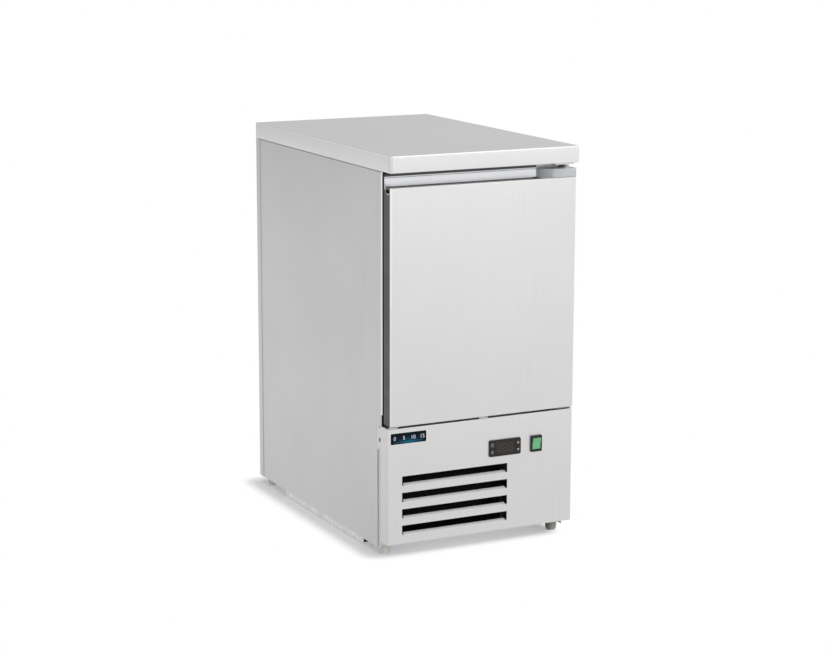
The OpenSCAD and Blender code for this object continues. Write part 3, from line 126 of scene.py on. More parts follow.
def object_noise(material, stretch, detail, rough, seed=0.0):
    """Noise read from Object coordinates that are stretched by a scale for each axis."""
    shift = (seed, seed * 0.7, seed * 0.3)
    place = wired(material, "ShaderNodeMapping", object_place(material), shift, None, stretch)
    return wired(material, "ShaderNodeTexNoise", place.outputs[0], None, 1.0, detail, rough).outputs["Fac"]


def spread(material, noise, low, high):
    """Noise stretched from its middle range to the range from low to high."""
    return fitted(material, noise, NOISE_MIDDLE, low, high)


def mixed_colour(material, value, dark, light):
    """Base colour that runs between two tones as the value runs from 0 to 1."""
    mix = wired(material, "ShaderNodeMix", value, data_type="RGBA")
    tones = [socket for socket in mix.inputs if socket.type == "RGBA"]
    for socket, tone in zip(tones, (dark, light)):
        socket.default_value = (*tone, 1)
    feed(material, "Base Color", [socket for socket in mix.outputs if socket.type == "RGBA"][0])


def scaled(colour, factor):
    return tuple(min(1.0, c * factor) for c in colour)


def marked(material, marks, colour, contrast, rough_span):
    """Base colour and roughness that both vary a little with the marks of a surface."""
    dark, light = scaled(colour, 1 - contrast), scaled(colour, 1 + contrast)
    mixed_colour(material, spread(material, marks, 0, 1), dark, light)
    feed(material, "Roughness", spread(material, marks, *rough_span))


def add_bump(material, height, depth, strength):
    bump = wired(material, "ShaderNodeBump", strength, depth, None, height)
    feed(material, "Normal", bump.outputs["Normal"])


def brushed_steel(name, colour, roughness, grain, seed, metallic=0.8):
    """Sheet steel with a fine brushed grain along one axis, faint clouds and handling marks."""
    material = new_finish(name, colour, roughness, metallic)
    stretch = [GRAIN_ALONG if axis == grain else GRAIN_ACROSS for axis in "XYZ"]
    fine = object_noise(material, stretch, 3, 0.6, seed)
    cloud = object_noise(material, (4.5, 4.5, 4.5), 3, 0.5, seed + 3)
    both = reckoned(material, "MULTIPLY_ADD", cloud, CLOUD_SHARE, fine)
    marks = reckoned(material, "SUBTRACT", both, CLOUD_SHARE / 2)
    marked(material, marks, colour, STEEL_CONTRAST, (roughness + 0.05, roughness - 0.04))
    add_bump(material, fine, 0.03 * MM, 0.35)
    return material


def moulded_plastic(name, colour, roughness, specular=0.5, depth=0.04 * MM):
    """Moulded plastic with a fine spark-eroded grain and slightly uneven tone."""
    material = new_finish(name, colour, roughness, Specular_IOR_Level=specular)
    fine = object_noise(material, (900, 900, 900), 2, 0.5)
    cloud = object_noise(material, (30, 30, 30), 3, 0.5, 5)
    marked(material, cloud, colour, PLASTIC_CONTRAST, (roughness + 0.05, roughness - 0.05))
    add_bump(material, fine, depth, 0.4)
    return material


def painted_metal(name, colour, roughness):
    """Enamelled metal with a slight orange peel and dust."""
    material = new_finish(name, colour, roughness, Coat_Weight=0.3, Coat_Roughness=0.15)
    peel = object_noise(material, (260, 260, 260), 2, 0.4)
    dust = object_noise(material, (25, 25, 60), 4, 0.6, 2)
    mixed_colour(material, spread(material, dust, 0, 1), colour, tuple(c * 1.3 + 0.006 for c in colour))
    add_bump(material, peel, 0.08 * MM, 0.3)
    return material


def raw_metal(name, colour, roughness, stretch, contrast=0.08, depth=0.04 * MM):
    """Bare metal with a rolled, drawn or spangled surface."""
    material = new_finish(name, colour, roughness, 1.0)
    marks = object_noise(material, stretch, 5, 0.6)
    marked(material, marks, colour, contrast, (roughness + 0.08, roughness - 0.06))
    add_bump(material, marks, depth, 0.35)
    return material


def foam_finish(name, colour):
    material = new_finish(name, colour, 0.9)
    cells = wired(material, "ShaderNodeTexVoronoi", object_place(material), None, 700).outputs["Distance"]
    mixed_colour(material, cells, scaled(colour, 0.86), colour)
    add_bump(material, cells, 0.6 * MM, 0.6)
    return material


def board_finish(name, colour):
    material = new_finish(name, colour, 0.8)
    chips = object_noise(material, (160, 420, 160), 5, 0.7)
    mixed_colour(material, spread(material, chips, 0, 1), scaled(colour, 0.7), scaled(colour, 1.15))
    add_bump(material, chips, 0.3 * MM, 0.5)
    return material


# Painted light and shade: one stainless steel in tones set per face, the body's darker tone a shaded copy for the
# sides and the top's and front's paler tones lit copies
TOP_STEEL = (0.7, 0.696, 0.692)
BODY_STEEL = (0.58, 0.58, 0.585)
FRONT_STEEL = (0.675, 0.666, 0.664)
LINING_STEEL = (0.7, 0.71, 0.72)
finishes = {
    "stainless_top": brushed_steel("brushed_worktop", TOP_STEEL, 0.34, "X", seed=1),
    "stainless_body": brushed_steel("brushed_body", BODY_STEEL, 0.36, "Z", seed=2),
    "stainless_front": brushed_steel("brushed_front", FRONT_STEEL, 0.36, "Z", seed=4),
    "stainless_inner": brushed_steel("satin_lining", LINING_STEEL, 0.3, "Z", seed=6),
    "galvanised_steel": raw_metal("galvanised_sheet", (0.66, 0.665, 0.67), 0.4, (90, 90, 90), 0.14),
    "core_board": board_finish("core_chipboard", (0.5, 0.36, 0.22)),
    "insulation_foam": foam_finish("rigid_foam", (0.78, 0.66, 0.4)),
    "hinge_steel": brushed_steel("hinge_sheet", (0.66, 0.665, 0.67), 0.3, "X", seed=7, metallic=1.0),
    "shelf_wire": raw_metal("plated_wire", (0.78, 0.79, 0.81), 0.16, (150, 150, 150), 0.04, 0.01 * MM),
    "screw_steel": raw_metal("screw_plate", (0.72, 0.72, 0.73), 0.2, (500, 500, 500), 0.05, 0.01 * MM),
    "machine_paint": painted_metal("black_enamel", (0.014, 0.014, 0.016), 0.35),
    "motor_paint": painted_metal("motor_enamel", (0.03, 0.03, 0.034), 0.45),
    "coil_aluminium": raw_metal("fin_foil", (0.72, 0.73, 0.74), 0.32, (300, 300, 12)),
    "coated_fins": painted_metal("black_fin_coating", (0.005, 0.005, 0.006), 0.6),
    "fan_aluminium": raw_metal("fan_sheet", (0.66, 0.67, 0.69), 0.35, (200, 40, 200)),
    "copper": raw_metal("copper_tube", (0.78, 0.4, 0.25), 0.26, (60, 60, 60), 0.12),
    "probe_metal": raw_metal("probe_steel", (0.62, 0.62, 0.63), 0.25, (200, 60, 60)),
    "grip_aluminium": raw_metal("grip_extrusion", (0.8, 0.825, 0.865), 0.24, (5, 900, 900), 0.03, 0.02 * MM),
}
# Name, colour and roughness, and where they differ the specular level and the grain's depth
PLASTICS = {
    "label_film": ("label_print", (0.002, 0.012, 0.03), 0.45, 0.1),
    "controller_plastic": ("black_moulding", (0.014, 0.012, 0.012), 0.42, 0.25),
    "controller_lens": ("smoked_window", (0.02, 0.016, 0.013), 0.15, 0.3, 0.002 * MM),
    "key_plastic": ("black_key", (0.018, 0.016, 0.016), 0.38, 0.25),
    "switch_plastic": ("switch_moulding", (0.01, 0.01, 0.011), 0.3, 0.3),
    "rocker_plastic": ("green_lens", (0.11, 0.345, 0.155), 0.25, 0.5, 0.01 * MM),
    "machine_rubber": ("damper_rubber", (0.015, 0.015, 0.015), 0.75),
    "fan_plastic": ("fan_moulding", (0.025, 0.025, 0.027), 0.5),
    "tray_plastic": ("tray_moulding", (0.035, 0.035, 0.038), 0.5),
    "hose_plastic": ("milky_hose", (0.62, 0.62, 0.58), 0.45),
    "box_plastic": ("pale_moulding", (0.7, 0.71, 0.71), 0.4),
    "door_edge_plastic": ("door_edge_moulding", (0.09, 0.084, 0.075), 0.5, 0.3),
    "gasket_rubber": ("gasket_vinyl", (0.012, 0.012, 0.012), 0.55),
    "grip_end_plastic": ("grip_end_moulding", (0.36, 0.375, 0.39), 0.3),
    "bush_plastic": ("bush_moulding", (0.76, 0.76, 0.73), 0.35),
    "foot_plastic": ("foot_moulding", (0.64, 0.63, 0.6), 0.45),
}
finishes.update({slot: moulded_plastic(*look) for slot, look in PLASTICS.items()})
ink_pale = new_finish("pale_ink", (0.5, 0.53, 0.56), 0.5)
ink_dim = new_finish("dim_ink", (0.24, 0.24, 0.235), 0.5)
ink_teal = new_finish("teal_ink", (0.03, 0.2, 0.24), 0.5)
segment_dark = new_finish("unlit_segment", (0.028, 0.02, 0.017), 0.3)


# Painted shade and highlights that follow a piece's edges and folds

def object_parts(material):
    """The three parts of the place on the object."""
    return wired(material, "ShaderNodeSeparateXYZ", object_place(material)).outputs


def shade_by(material, value, span, low, high):
    """Multiplies the base colour by a tone that runs from low to high as a value goes through a span."""
    plain = shader_of(material).inputs["Base Color"].links[0].from_socket
    tone = fitted(material, value, span, low, high)
    feed(material, "Base Color", on_vectors(material, "MULTIPLY", plain, tone))


def shade_along(material, axis, span, low, high):
    """Shades the base colour through a span along one axis."""
    shade_by(material, object_parts(material)[axis], span, low, high)


def shade_line(material, axis, span, under, tone):
    """Shades the base colour by one tone inside a span of one axis, under a height."""
    place = object_parts(material)
    inside = reckoned(material, "COMPARE", place[axis], sum(span) / 2, (span[1] - span[0]) / 2)
    below = reckoned(material, "LESS_THAN", place["Z"], under)
    shade_by(material, reckoned(material, "MULTIPLY", inside, below), (0, 1), 1, tone)


def shade_worktop(material):
    """Two fine lines of the corner's welded seam, a painted highlight along the top edge and a left face made
    paler by painted light.
    """
    low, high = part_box("worktop")
    bend = high.z - 0.7 * MM
    seam_beside = (low.x + 2.2 * MM, low.x + 4.2 * MM)
    seam_in_front = (low.y + 4.1 * MM, low.y + 7.5 * MM)
    top_edge_highlight = (bend - 2 * MM, bend)
    left_face = (low.x + 0.1 * MM, low.x + 0.6 * MM)
    shade_line(material, "X", seam_beside, bend, 0.68)
    shade_line(material, "Y", seam_in_front, bend, 0.75)
    # Painted highlight along the top edge, and painted light that makes the left face paler
    shade_line(material, "Z", top_edge_highlight, bend, 1.18)
    shade_along(material, "X", left_face, 1.1, 1)


def shade_grip(material):
    """Painted shade along the lower edge of the grip channel, in the trough out of the light, which leaves its
    left end bright.
    """
    low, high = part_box("grip_channel")
    past_end = (low.x + 0.4 * MM, high.x + 0.4 * MM)
    shade_line(material, "X", past_end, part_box("door_skin")[1].z + 0.8 * MM, 0.08)


def base_pan_finish():
    """Zinc coated sheet with painted shade above the front panel's foot, where it lies under the cabinet."""
    material = raw_metal("base_pan_sheet", (0.72, 0.73, 0.74), 0.45, (90, 90, 90), 0.14)
    panel_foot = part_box("front_panel")[0].z
    fade = (panel_foot - 1 * MM, panel_foot + 2 * MM)
    shade_along(material, "Z", fade, 1, 0.12)
    return material


def ear_screw_finish():
    """Plate brighter than the other screws as a painted highlight, with painted shade on the front of the screw's
    head.
    """
    material = raw_metal("domed_screw", (0.92, 0.92, 0.92), 0.25, (500, 500, 500), 0.05, 0.01 * MM)
    low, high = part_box("front_panel_screws")
    middle = (low.y + high.y) / 2
    shade_along(material, "Y", (middle - 2 * MM, middle - 1 * MM), 0.12, 1)
    return material


def side_panel_finish():
    """Body steel with a painted shadow line under the worktop's overhang, and painted shade on its front fold
    beside the door.
    """
    material = brushed_steel("brushed_side", BODY_STEEL, 0.36, "Z", seed=2)
    low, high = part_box("side_panel_left")
    under_worktop = (high.z - 3.2 * MM, high.z - 2.2 * MM)
    front_fold = (low.y + 0.3 * MM, low.y + 0.9 * MM)
    shade_along(material, "Z", under_worktop, 1, 0.5)
    shade_along(material, "Y", front_fold, 0.08, 1)
    return material


def opening_rim_finish():
    """Lining steel with painted shade at both sides, in the gaps beside the door."""
    material = brushed_steel("opening_rim", LINING_STEEL, 0.35, "Z", seed=9)
    gap_width, fade = 7 * MM, 2 * MM
    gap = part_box("front_frame")[1].x - gap_width
    shade_along(material, "X", (-gap, -gap + fade), 0.1, 1)
    shade_along(material, "X", (gap - fade, gap), 1, 0.1)
    return material


def door_skin_finish():
    """Front steel with a painted highlight down the left edge, fainter on the lower half."""
    material = brushed_steel("brushed_door", FRONT_STEEL, 0.36, "Z", seed=4)
    low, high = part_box("door_skin")
    left_edge = (low.x, low.x + 2.8 * MM)
    shade_line(material, "X", left_edge, high.z, 1.2)
    shade_line(material, "X", left_edge, (low.z + high.z) / 2, 0.92)
    return material


shade_worktop(finishes["stainless_top"])
shade_grip(finishes["grip_aluminium"])
side_panel_steel = side_panel_finish()
own_finish = {
    "base_pan": base_pan_finish(),
    "door_skin": door_skin_finish(),
    "front_frame": opening_rim_finish(),
    # Painted shade: the lower hinge bracket in a dark copy of the hinge steel, in the shadow of the gap under the
    # door
    "hinge_bracket_bottom": brushed_steel("hinge_painted_shade", (0.2, 0.2, 0.2), 0.4, "X", seed=8),
    "side_panel_left": side_panel_steel,
    "side_panel_right": side_panel_steel,
}


# CAD nodes

def smooth_faces(mesh, smooth=True):
    for face in mesh.polygons:
        face.use_smooth = smooth


def split_sharp_edges(obj):
    split = obj.modifiers.new("sharp edges", "EDGE_SPLIT")
    split.split_angle = SMOOTH_ANGLE


def coat(obj, material):
    obj.data.materials.clear()
    obj.data.materials.append(material)


slot_of = {part["node"]: part["material_slot"] for part in frame["record"]["subparts"]}
for node_name, node_object in nodes.items():
    coat(node_object, own_finish.get(node_name, finishes[slot_of[node_name]]))
    smooth_faces(node_object.data)
    weld = node_object.modifiers.new("weld", "WELD")
    weld.merge_threshold = WELD
    split_sharp_edges(node_object)


# Building meshes

def link_object(name, data):
    obj = bpy.data.objects.new(name, data)
    bpy.context.scene.collection.objects.link(obj)
    return obj


def mesh_object(name, points, faces, smooth=True):
    mesh = bpy.data.meshes.new(name)
    mesh.from_pydata([tuple(p) for p in points], [], faces)
    shape = bmesh.new()
    shape.from_mesh(mesh)
    bmesh.ops.remove_doubles(shape, verts=shape.verts, dist=1e-7)
    bmesh.ops.recalc_face_normals(shape, faces=shape.faces)
    shape.to_mesh(mesh)
    shape.free()
    smooth_faces(mesh, smooth)
    return link_object(name, mesh)


def finish_piece(obj, material_slot, body, replaced=(), material=None):
    """Gives a finished piece its material, its sharp edges and the body it rides on."""
    coat(obj, material or finishes[material_slot])
    split_sharp_edges(obj)
    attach(obj, body)
    if replaced:
        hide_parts(*replaced)
    return obj


def joined(name, objects):
    """One object from several that sit at the origin."""
    shape = bmesh.new()
    for obj in objects:
        shape.from_mesh(obj.data)
    mesh = bpy.data.meshes.new(name)
    shape.to_mesh(mesh)
    shape.free()
    for obj in objects:
        bpy.data.objects.remove(obj)
    smooth_faces(mesh)
    return link_object(name, mesh)


def middle_of(low, high):
    return (low + high) / 2


def round_angles(steps):
    return [2 * math.pi * i / steps for i in range(steps)]


def ring_faces(rings, count, closed=False):
    """Quads between rings of points that follow each other in one list."""
    last = rings if closed else rings - 1
    return [(r * count + i, r * count + (i + 1) % count,
             (r + 1) % rings * count + (i + 1) % count, (r + 1) % rings * count + i)
            for r in range(last) for i in range(count)]


def capped_faces(rings, count):
    """Quads between rings of points, and a face over each end."""
    ends = [tuple(range(count)), tuple(range((rings - 1) * count, rings * count))]
    return ring_faces(rings, count) + ends


def turned(name, profile, centre, axis=Z_AXIS, steps=32):
    """Closed solid turned from (radius, height) points, whose first and last lie on the axis."""
    turn = Z_AXIS.rotation_difference(axis).to_matrix()
    points = [centre + turn @ Vector((r * math.cos(a), r * math.sin(a), h))
              for r, h in profile for a in round_angles(steps)]
    return mesh_object(name, points, ring_faces(len(profile), steps))


def rounded_route(corners, bend, steps=6, closed=False):
    """Points along straight runs whose corners are rounded by arcs of one radius."""
    corners = [Vector(c) for c in corners]
    count = len(corners)
    route = [] if closed else [corners[0]]
    for i in range(0 if closed else 1, count if closed else count - 1):
        here = corners[i]
        back = (corners[i - 1] - here).normalized()
        on = (corners[(i + 1) % count] - here).normalized()
        half = back.angle(on) / 2
        reach = bend / math.tan(half)
        middle = here + (back + on).normalized() * (bend / math.sin(half))
        start, end = here + back * reach - middle, here + on * reach - middle
        sweep = start.rotation_difference(end)
        for k in range(steps + 1):
            part = sweep.copy()
            part.angle = sweep.angle * k / steps
            route.append(middle + part @ start)
    return route if closed else route + [corners[-1]]


def tube(name, route, radius, sides=12, closed=False):
    """Round rod or pipe along a route, with closed ends."""
    count = len(route)
    points = []
    along = (route[1] - route[0]).normalized()
    side = along.orthogonal().normalized()
    for i, here in enumerate(route):
        before = route[i - 1] if i or closed else here
        after = route[(i + 1) % count] if i < count - 1 or closed else here
        heading = (after - before).normalized()
        side = (along.rotation_difference(heading) @ side).normalized()
        along = heading
        other = along.cross(side)
        points += [here + radius * (math.cos(a) * side + math.sin(a) * other) for a in round_angles(sides)]
    faces = ring_faces(count, sides, closed=True) if closed else capped_faces(count, sides)
    return mesh_object(name, points, faces)


def slab(name, low, high):
    """Box between two corners."""
    points = [Vector((x, y, z)) for x in (low[0], high[0]) for y in (low[1], high[1])
              for z in (low[2], high[2])]
    faces = [(0, 1, 3, 2), (4, 6, 7, 5), (0, 4, 5, 1), (2, 3, 7, 6), (0, 2, 6, 4), (1, 5, 7, 3)]
    return mesh_object(name, points, faces, smooth=False)


def plate(name, outline, thickness, place):
    """Flat shape from an outline in X and Z, which faces -Y at the given place."""
    front = [Vector((x, 0, z)) + place for x, z in outline]
    points = front + [p + thickness * Y_AXIS for p in front]
    return mesh_object(name, points, capped_faces(2, len(front)), smooth=False)


def rounded_rectangle(half_width, half_height, radius, steps=6):
    """Outline round the origin with rounded corners."""
    outline = []
    for k, (sx, sz) in enumerate(((1, 1), (-1, 1), (-1, -1), (1, -1))):
        for i in range(steps + 1):
            a = math.pi / 2 * (k + i / steps)
            outline.append((sx * (half_width - radius) + radius * math.cos(a),
                            sz * (half_height - radius) + radius * math.sin(a)))
    return outline


# Node trees that repeat a template

def repeat_tree(name, in_ring):
    """Repeats a template along a line, or in a ring round an axis through the object's origin."""
    tree = bpy.data.node_groups.new(name, "GeometryNodeTree")
    inputs = {"Geometry": "Geometry", "Template": "Object", "Count": "Int", "Start": "Vector",
              "Axis" if in_ring else "Step": "Vector", "Finish": "Material"}
    for title, kind in inputs.items():
        tree.interface.new_socket(title, in_out="INPUT", socket_type="NodeSocket" + kind)
    tree.interface.new_socket("Geometry", in_out="OUTPUT", socket_type="NodeSocketGeometry")
    given = wired(tree, "NodeGroupInput").outputs
    if in_ring:
        index = wired(tree, "GeometryNodeInputIndex").outputs[0]
        angle = reckoned(tree, "MULTIPLY", reckoned(tree, "DIVIDE", index, given["Count"]), 2 * math.pi)
        turn = wired(tree, "FunctionNodeAxisAngleToRotation", given["Axis"], angle).outputs[0]
        step = (0, 0, 0)
    else:
        turn, step = None, given["Step"]
    line = wired(tree, "GeometryNodeMeshLine", given["Count"], None, given["Start"], step).outputs[0]
    template = wired(tree, "GeometryNodeObjectInfo", given["Template"]).outputs["Geometry"]
    placed = wired(tree, "GeometryNodeInstanceOnPoints", line, None, template, None, None, turn).outputs[0]
    solid = wired(tree, "GeometryNodeRealizeInstances", placed).outputs[0]
    coated = wired(tree, "GeometryNodeSetMaterial", solid, None, given["Finish"]).outputs[0]
    wired(tree, "NodeGroupOutput", coated)
    return tree


row_tree = repeat_tree("row of pieces", in_ring=False)
ring_tree = repeat_tree("ring of pieces", in_ring=True)


def grown(name, tree, template, **values):
    """Plain mesh object grown by a node tree from a template, which is then removed."""
    obj = link_object(name, bpy.data.meshes.new(name))
    modifier = obj.modifiers.new(name, "NODES")
    modifier.node_group = tree
    values["Template"] = template
    for item in tree.interface.items_tree:
        if item.in_out == "INPUT" and item.name in values:
            modifier[item.identifier] = values[item.name]
    bpy.context.view_layer.update()
    evaluated = obj.evaluated_get(bpy.context.evaluated_depsgraph_get())
    mesh = bpy.data.meshes.new_from_object(evaluated)
    obj.modifiers.remove(modifier)
    obj.data = mesh
    bpy.data.objects.remove(template)
    return obj


def row(name, template, count, start, step, material):
    return grown(name, row_tree, template, Count=count, Start=tuple(start), Step=tuple(step), Finish=material)


def ring(name, template, count, centre, axis, material):
    return grown(name, ring_tree, template, Count=count, Start=tuple(centre), Axis=tuple(axis),
                 Finish=material)


# Screws

def screw_head(name, radius, height, centre, axis):
    """Pan head with a cross recess, its seat at the centre and its crown along the axis."""
    wing, tip, sink = radius * 0.6, radius * 0.16, height * 0.55
    angles = round_angles(48)
    steps = len(angles)
    turn = Z_AXIS.rotation_difference(axis).to_matrix()

    def recess_radius(a):
        """Distance from the axis to the edge of the cross at an angle."""
        a = (a + math.pi / 4) % (math.pi / 2) - math.pi / 4
        return min(wing / math.cos(a), tip / max(abs(math.sin(a)), 1e-6))

    def dome(r):
        return height * (1 - (r / radius) ** 2 * 0.9)

    rings = [[(radius, 0.0)] * steps, [(radius, height * 0.1)] * steps]
    rings += [[(r, dome(r))] * steps for r in (radius * 0.85, radius * 0.66)]
    rings += [[(recess_radius(a), dome(recess_radius(a))) for a in angles],
              [(recess_radius(a) * 0.8, height - sink) for a in angles]]
    points = [centre + turn @ Vector((r * math.cos(a), r * math.sin(a), h))
              for level in rings for a, (r, h) in zip(angles, level)]
    return mesh_object(name, points, capped_faces(len(rings), steps))


def screw(name, seat, axis, head_radius, head_height, shank_radius, shank_length):
    """Screw with its head's seat at a point, and its shank on the side away from the axis."""
    shank = turned(name + "_shank", [(0, 0), (shank_radius, 0), (shank_radius, -shank_length * 0.9),
                                    (shank_radius * 0.4, -shank_length), (0, -shank_length)], seat, axis, 16)
    return joined(name, [screw_head(name + "_head", head_radius, head_height, seat, axis), shank])


EAR_HEAD_HEIGHT = 2.6 * MM
EAR_SHANK = (2 * MM, 9 * MM)
ear_low, ear_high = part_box("front_panel_screws")
ear_mid = middle_of(ear_low, ear_high)
ear_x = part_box("front_panel")[1].x
ear_screws = [screw(f"ear_screw_{side}", Vector((ear_x * side, ear_mid.y, ear_mid.z)), X_AXIS * side,
                    (ear_high.z - ear_low.z) / 2, EAR_HEAD_HEIGHT, *EAR_SHANK) for side in (-1, 1)]
finish_piece(joined("panel_screws", ear_screws), "screw_steel", "cabinet", ["front_panel_screws"],
             ear_screw_finish())

HINGE_HEAD = (4.5 * MM, 2.5 * MM)
HINGE_SHANK = (2.5 * MM, 13 * MM)
PLATE_SHEET, BRACKET_SHEET = 5 * MM, 3 * MM
PLATE_SCREW_INSET, PLATE_SCREW_OFFSETS = 23 * MM, (-2 * MM, 17 * MM)
BRACKET_SCREW_RISE, BRACKET_SCREW_INSETS = 16 * MM, (14 * MM, 3 * MM)
bracket_low, bracket_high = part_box("hinge_bracket_bottom")
hinge_mid = middle_of(*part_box("hinge_bushes"))
plate_x, under_plate = hinge_mid.x - PLATE_SCREW_INSET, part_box("hinge_plate_top")[1].z - PLATE_SHEET
bracket_front, bracket_screw_z = bracket_high.y - BRACKET_SHEET, bracket_low.z + BRACKET_SCREW_RISE
seats = [(Vector((plate_x, hinge_mid.y + offset, under_plate)), -Z_AXIS) for offset in PLATE_SCREW_OFFSETS]
seats += [(Vector((hinge_mid.x - inset, bracket_front, bracket_screw_z)), -Y_AXIS)
          for inset in BRACKET_SCREW_INSETS]
hinge_screws = [screw(f"hinge_screw_{k}", *seat, *HINGE_HEAD, *HINGE_SHANK) for k, seat in enumerate(seats)]
finish_piece(joined("hinge_screw_set", hinge_screws), "screw_steel", "cabinet", ["hinge_screws"])


# Door gasket

def mitred_frame(name, low, high, profile):
    """Frame in X and Z with mitred corners, from (inset, depth) points in millimetres."""
    points = []
    for side, top in ((-1, 0), (1, 0), (1, 1), (-1, 1)):
        for inset, depth in profile:
            x = high.x - inset * MM if side > 0 else low.x + inset * MM
            z = high.z - inset * MM if top else low.z + inset * MM
            points.append(Vector((x, low.y + depth * MM, z)))
    return mesh_object(name, points, ring_faces(4, len(profile), closed=True))


BELLOWS = [(0, 0), (0, 1.5), (2.3, 2.3), (3.5, 3.4), (2.5, 4.5), (0.9, 5.3), (0.8, 7.8), (1.1, 8.4),
           (1.7, 8.7), (12.3, 8.7), (12.9, 8.4), (13.2, 7.8), (13.1, 5.3), (11.5, 4.5), (10.5, 3.4),
           (11.7, 2.3), (14, 1.5), (14, 0)]
gasket = mitred_frame("gasket", *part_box("door_gasket"), BELLOWS)
finish_piece(gasket, "gasket_rubber", "door", ["door_gasket"])


# Door's inner panel, pressed with a shallow dish

def pressed_panel(name, rings, thickness):
    """Closed sheet from nested rounded outlines (half width, half height, radius, y, z of the middle)."""
    points = []
    for back in (1, 0):
        for half_width, half_height, radius, y, z in rings[::1 if back else -1]:
            front_y = y if back else y - thickness
            outline = rounded_rectangle(half_width, half_height, radius)
            points += [Vector((x, front_y, z + h)) for x, h in outline]
    count = len(points) // (2 * len(rings))
    middle = len(rings) * count
    faces = [face for face in ring_faces(2 * len(rings), count, closed=True)
             if not middle - count <= face[0] < middle]
    faces += [tuple(range(middle - count, middle)), tuple(range(middle, middle + count))]
    return mesh_object(name, points, faces)


END_GAP = 0.3 * MM
DISH_INSET, DISH_DEPTH = 50.5 * MM, 5 * MM
DISH_RADIUS, DISH_SLOPE = 18 * MM, 8 * MM
INNER_SHEET, INNER_RADIUS = 1.5 * MM, 2 * MM
inner_low, inner_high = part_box("door_inner_panel")
skin_low, skin_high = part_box("door_skin")
block_low, block_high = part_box("grip_end_block")
panel_top = block_high.z
inner_mid, dish_mid = (inner_low.z + panel_top) / 2, middle_of(skin_low, skin_high).z
dish_w = skin_high.x - DISH_INSET
dish_h = (skin_high.z - skin_low.z) / 2 - DISH_INSET
inner_rings = [(inner_high.x, (panel_top - inner_low.z) / 2, INNER_RADIUS, inner_high.y, inner_mid)]
for share in (0, 0.25, 0.5, 0.75, 1):
    inward = DISH_SLOPE * share
    dish_y = inner_high.y - DISH_DEPTH * (1 - math.cos(math.pi * share)) / 2
    inner_rings.append((dish_w - inward, dish_h - inward, DISH_RADIUS - inward, dish_y, dish_mid))
raised_edge = slab("raised_edge", (inner_low.x, inner_high.y - INNER_SHEET, panel_top - MM),
                   (block_low.x - END_GAP, inner_high.y, inner_high.z))
# Painted shade: the lining turns dark above the top of the panel, in the shadow under the worktop, and along its
# left edge in the gap beside the door
lining_finish = brushed_steel("door_lining_steel", (0.78, 0.79, 0.815), 0.3, "X", seed=6)
shade_along(lining_finish, "Z", (panel_top + 1 * MM, panel_top + 2.5 * MM), 1, 0.08)
shade_along(lining_finish, "X", (inner_low.x + 0.3 * MM, inner_low.x + 0.8 * MM), 0.15, 1)
finish_piece(joined("door_lining", [pressed_panel("lining", inner_rings, INNER_SHEET), raised_edge]),
             "stainless_inner", "door", ["door_inner_panel"], lining_finish)


# Wire shelf

RIM_R, WIRE_R = 3 * MM, 1.5 * MM
RIM_BEND = 12 * MM
SHELF_PITCH = 20 * MM
shelf_low, shelf_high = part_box("wire_shelf")
rim_x, rim_z = shelf_high.x - RIM_R, shelf_low.z + RIM_R
rim_front, rim_back = shelf_low.y + RIM_R, shelf_high.y - RIM_R
rim_corners = [(-rim_x, rim_front, rim_z), (rim_x, rim_front, rim_z), (rim_x, rim_back, rim_z),
               (-rim_x, rim_back, rim_z)]
rim = tube("shelf_rim", rounded_route(rim_corners, RIM_BEND, closed=True), RIM_R, 12, closed=True)
wire_z = shelf_high.z - WIRE_R
long_wire = tube("long_wire", [Vector((0, rim_front, wire_z)), Vector((0, rim_back, wire_z))], WIRE_R, 8)
wire_count = int(2 * rim_x / SHELF_PITCH) - 1
wires = row("shelf_wires", long_wire, wire_count, (-SHELF_PITCH * (wire_count - 1) / 2, 0, 0),
            (SHELF_PITCH, 0, 0), finishes["shelf_wire"])
cross_z = wire_z - 2 * WIRE_R
cross_wire = tube("cross_wire", [Vector((-rim_x, 0, cross_z)), Vector((rim_x, 0, cross_z))], WIRE_R, 8)
third = (rim_back - rim_front) / 3
crosses = row("cross_wires", cross_wire, 2, (0, rim_front + third, 0), (0, third, 0), finishes["shelf_wire"])
finish_piece(joined("shelf_grid", [rim, wires, crosses]), "shelf_wire", "cabinet", ["wire_shelf"])


# Finned coils

FIN_SHEET, END_SHEET = 0.35 * MM, 1.2 * MM
LOOP_R = 4.4 * MM
LOOP_ROUNDING = 0.98
FIN_INSET = 1 * MM


def finned_coil(name, node, height_inset, pitch, material_slot, core, bend_rows):
    """Fins in a row between two end plates, with the return bends of the tubes."""
    low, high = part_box(node)
    start, end = core
    fin = slab(name + "_fin", (0, low.y + FIN_INSET, low.z + height_inset),
               (FIN_SHEET, high.y - FIN_INSET, high.z - height_inset))
    count = int((end - start - 2 * END_SHEET) / pitch)
    pieces = [row(name + "_fins", fin, count, (start + END_SHEET, 0, 0), (pitch, 0, 0),
                  finishes[material_slot])]
    pieces += [slab(f"{name}_end_{k}", (x, low.y, low.z), (x + END_SHEET, high.y, high.z))
               for k, x in enumerate((start, end - END_SHEET))]
    for side, y, first, step, number, bend_r in bend_rows:
        x = end if side > 0 else start
        out, under, over = x + side * bend_r, low.z - bend_r, low.z + bend_r
        route = rounded_route([(x, y, under), (out, y, under), (out, y, over), (x, y, over)],
                              bend_r * LOOP_ROUNDING)
        pieces.append(row(f"{name}_bends_{side}", tube(name + "_loop", route, LOOP_R, 10), number,
                          (0, 0, first), (0, 0, step), finishes[material_slot]))
    finish_piece(joined(name, pieces), material_slot, "cabinet", [node])


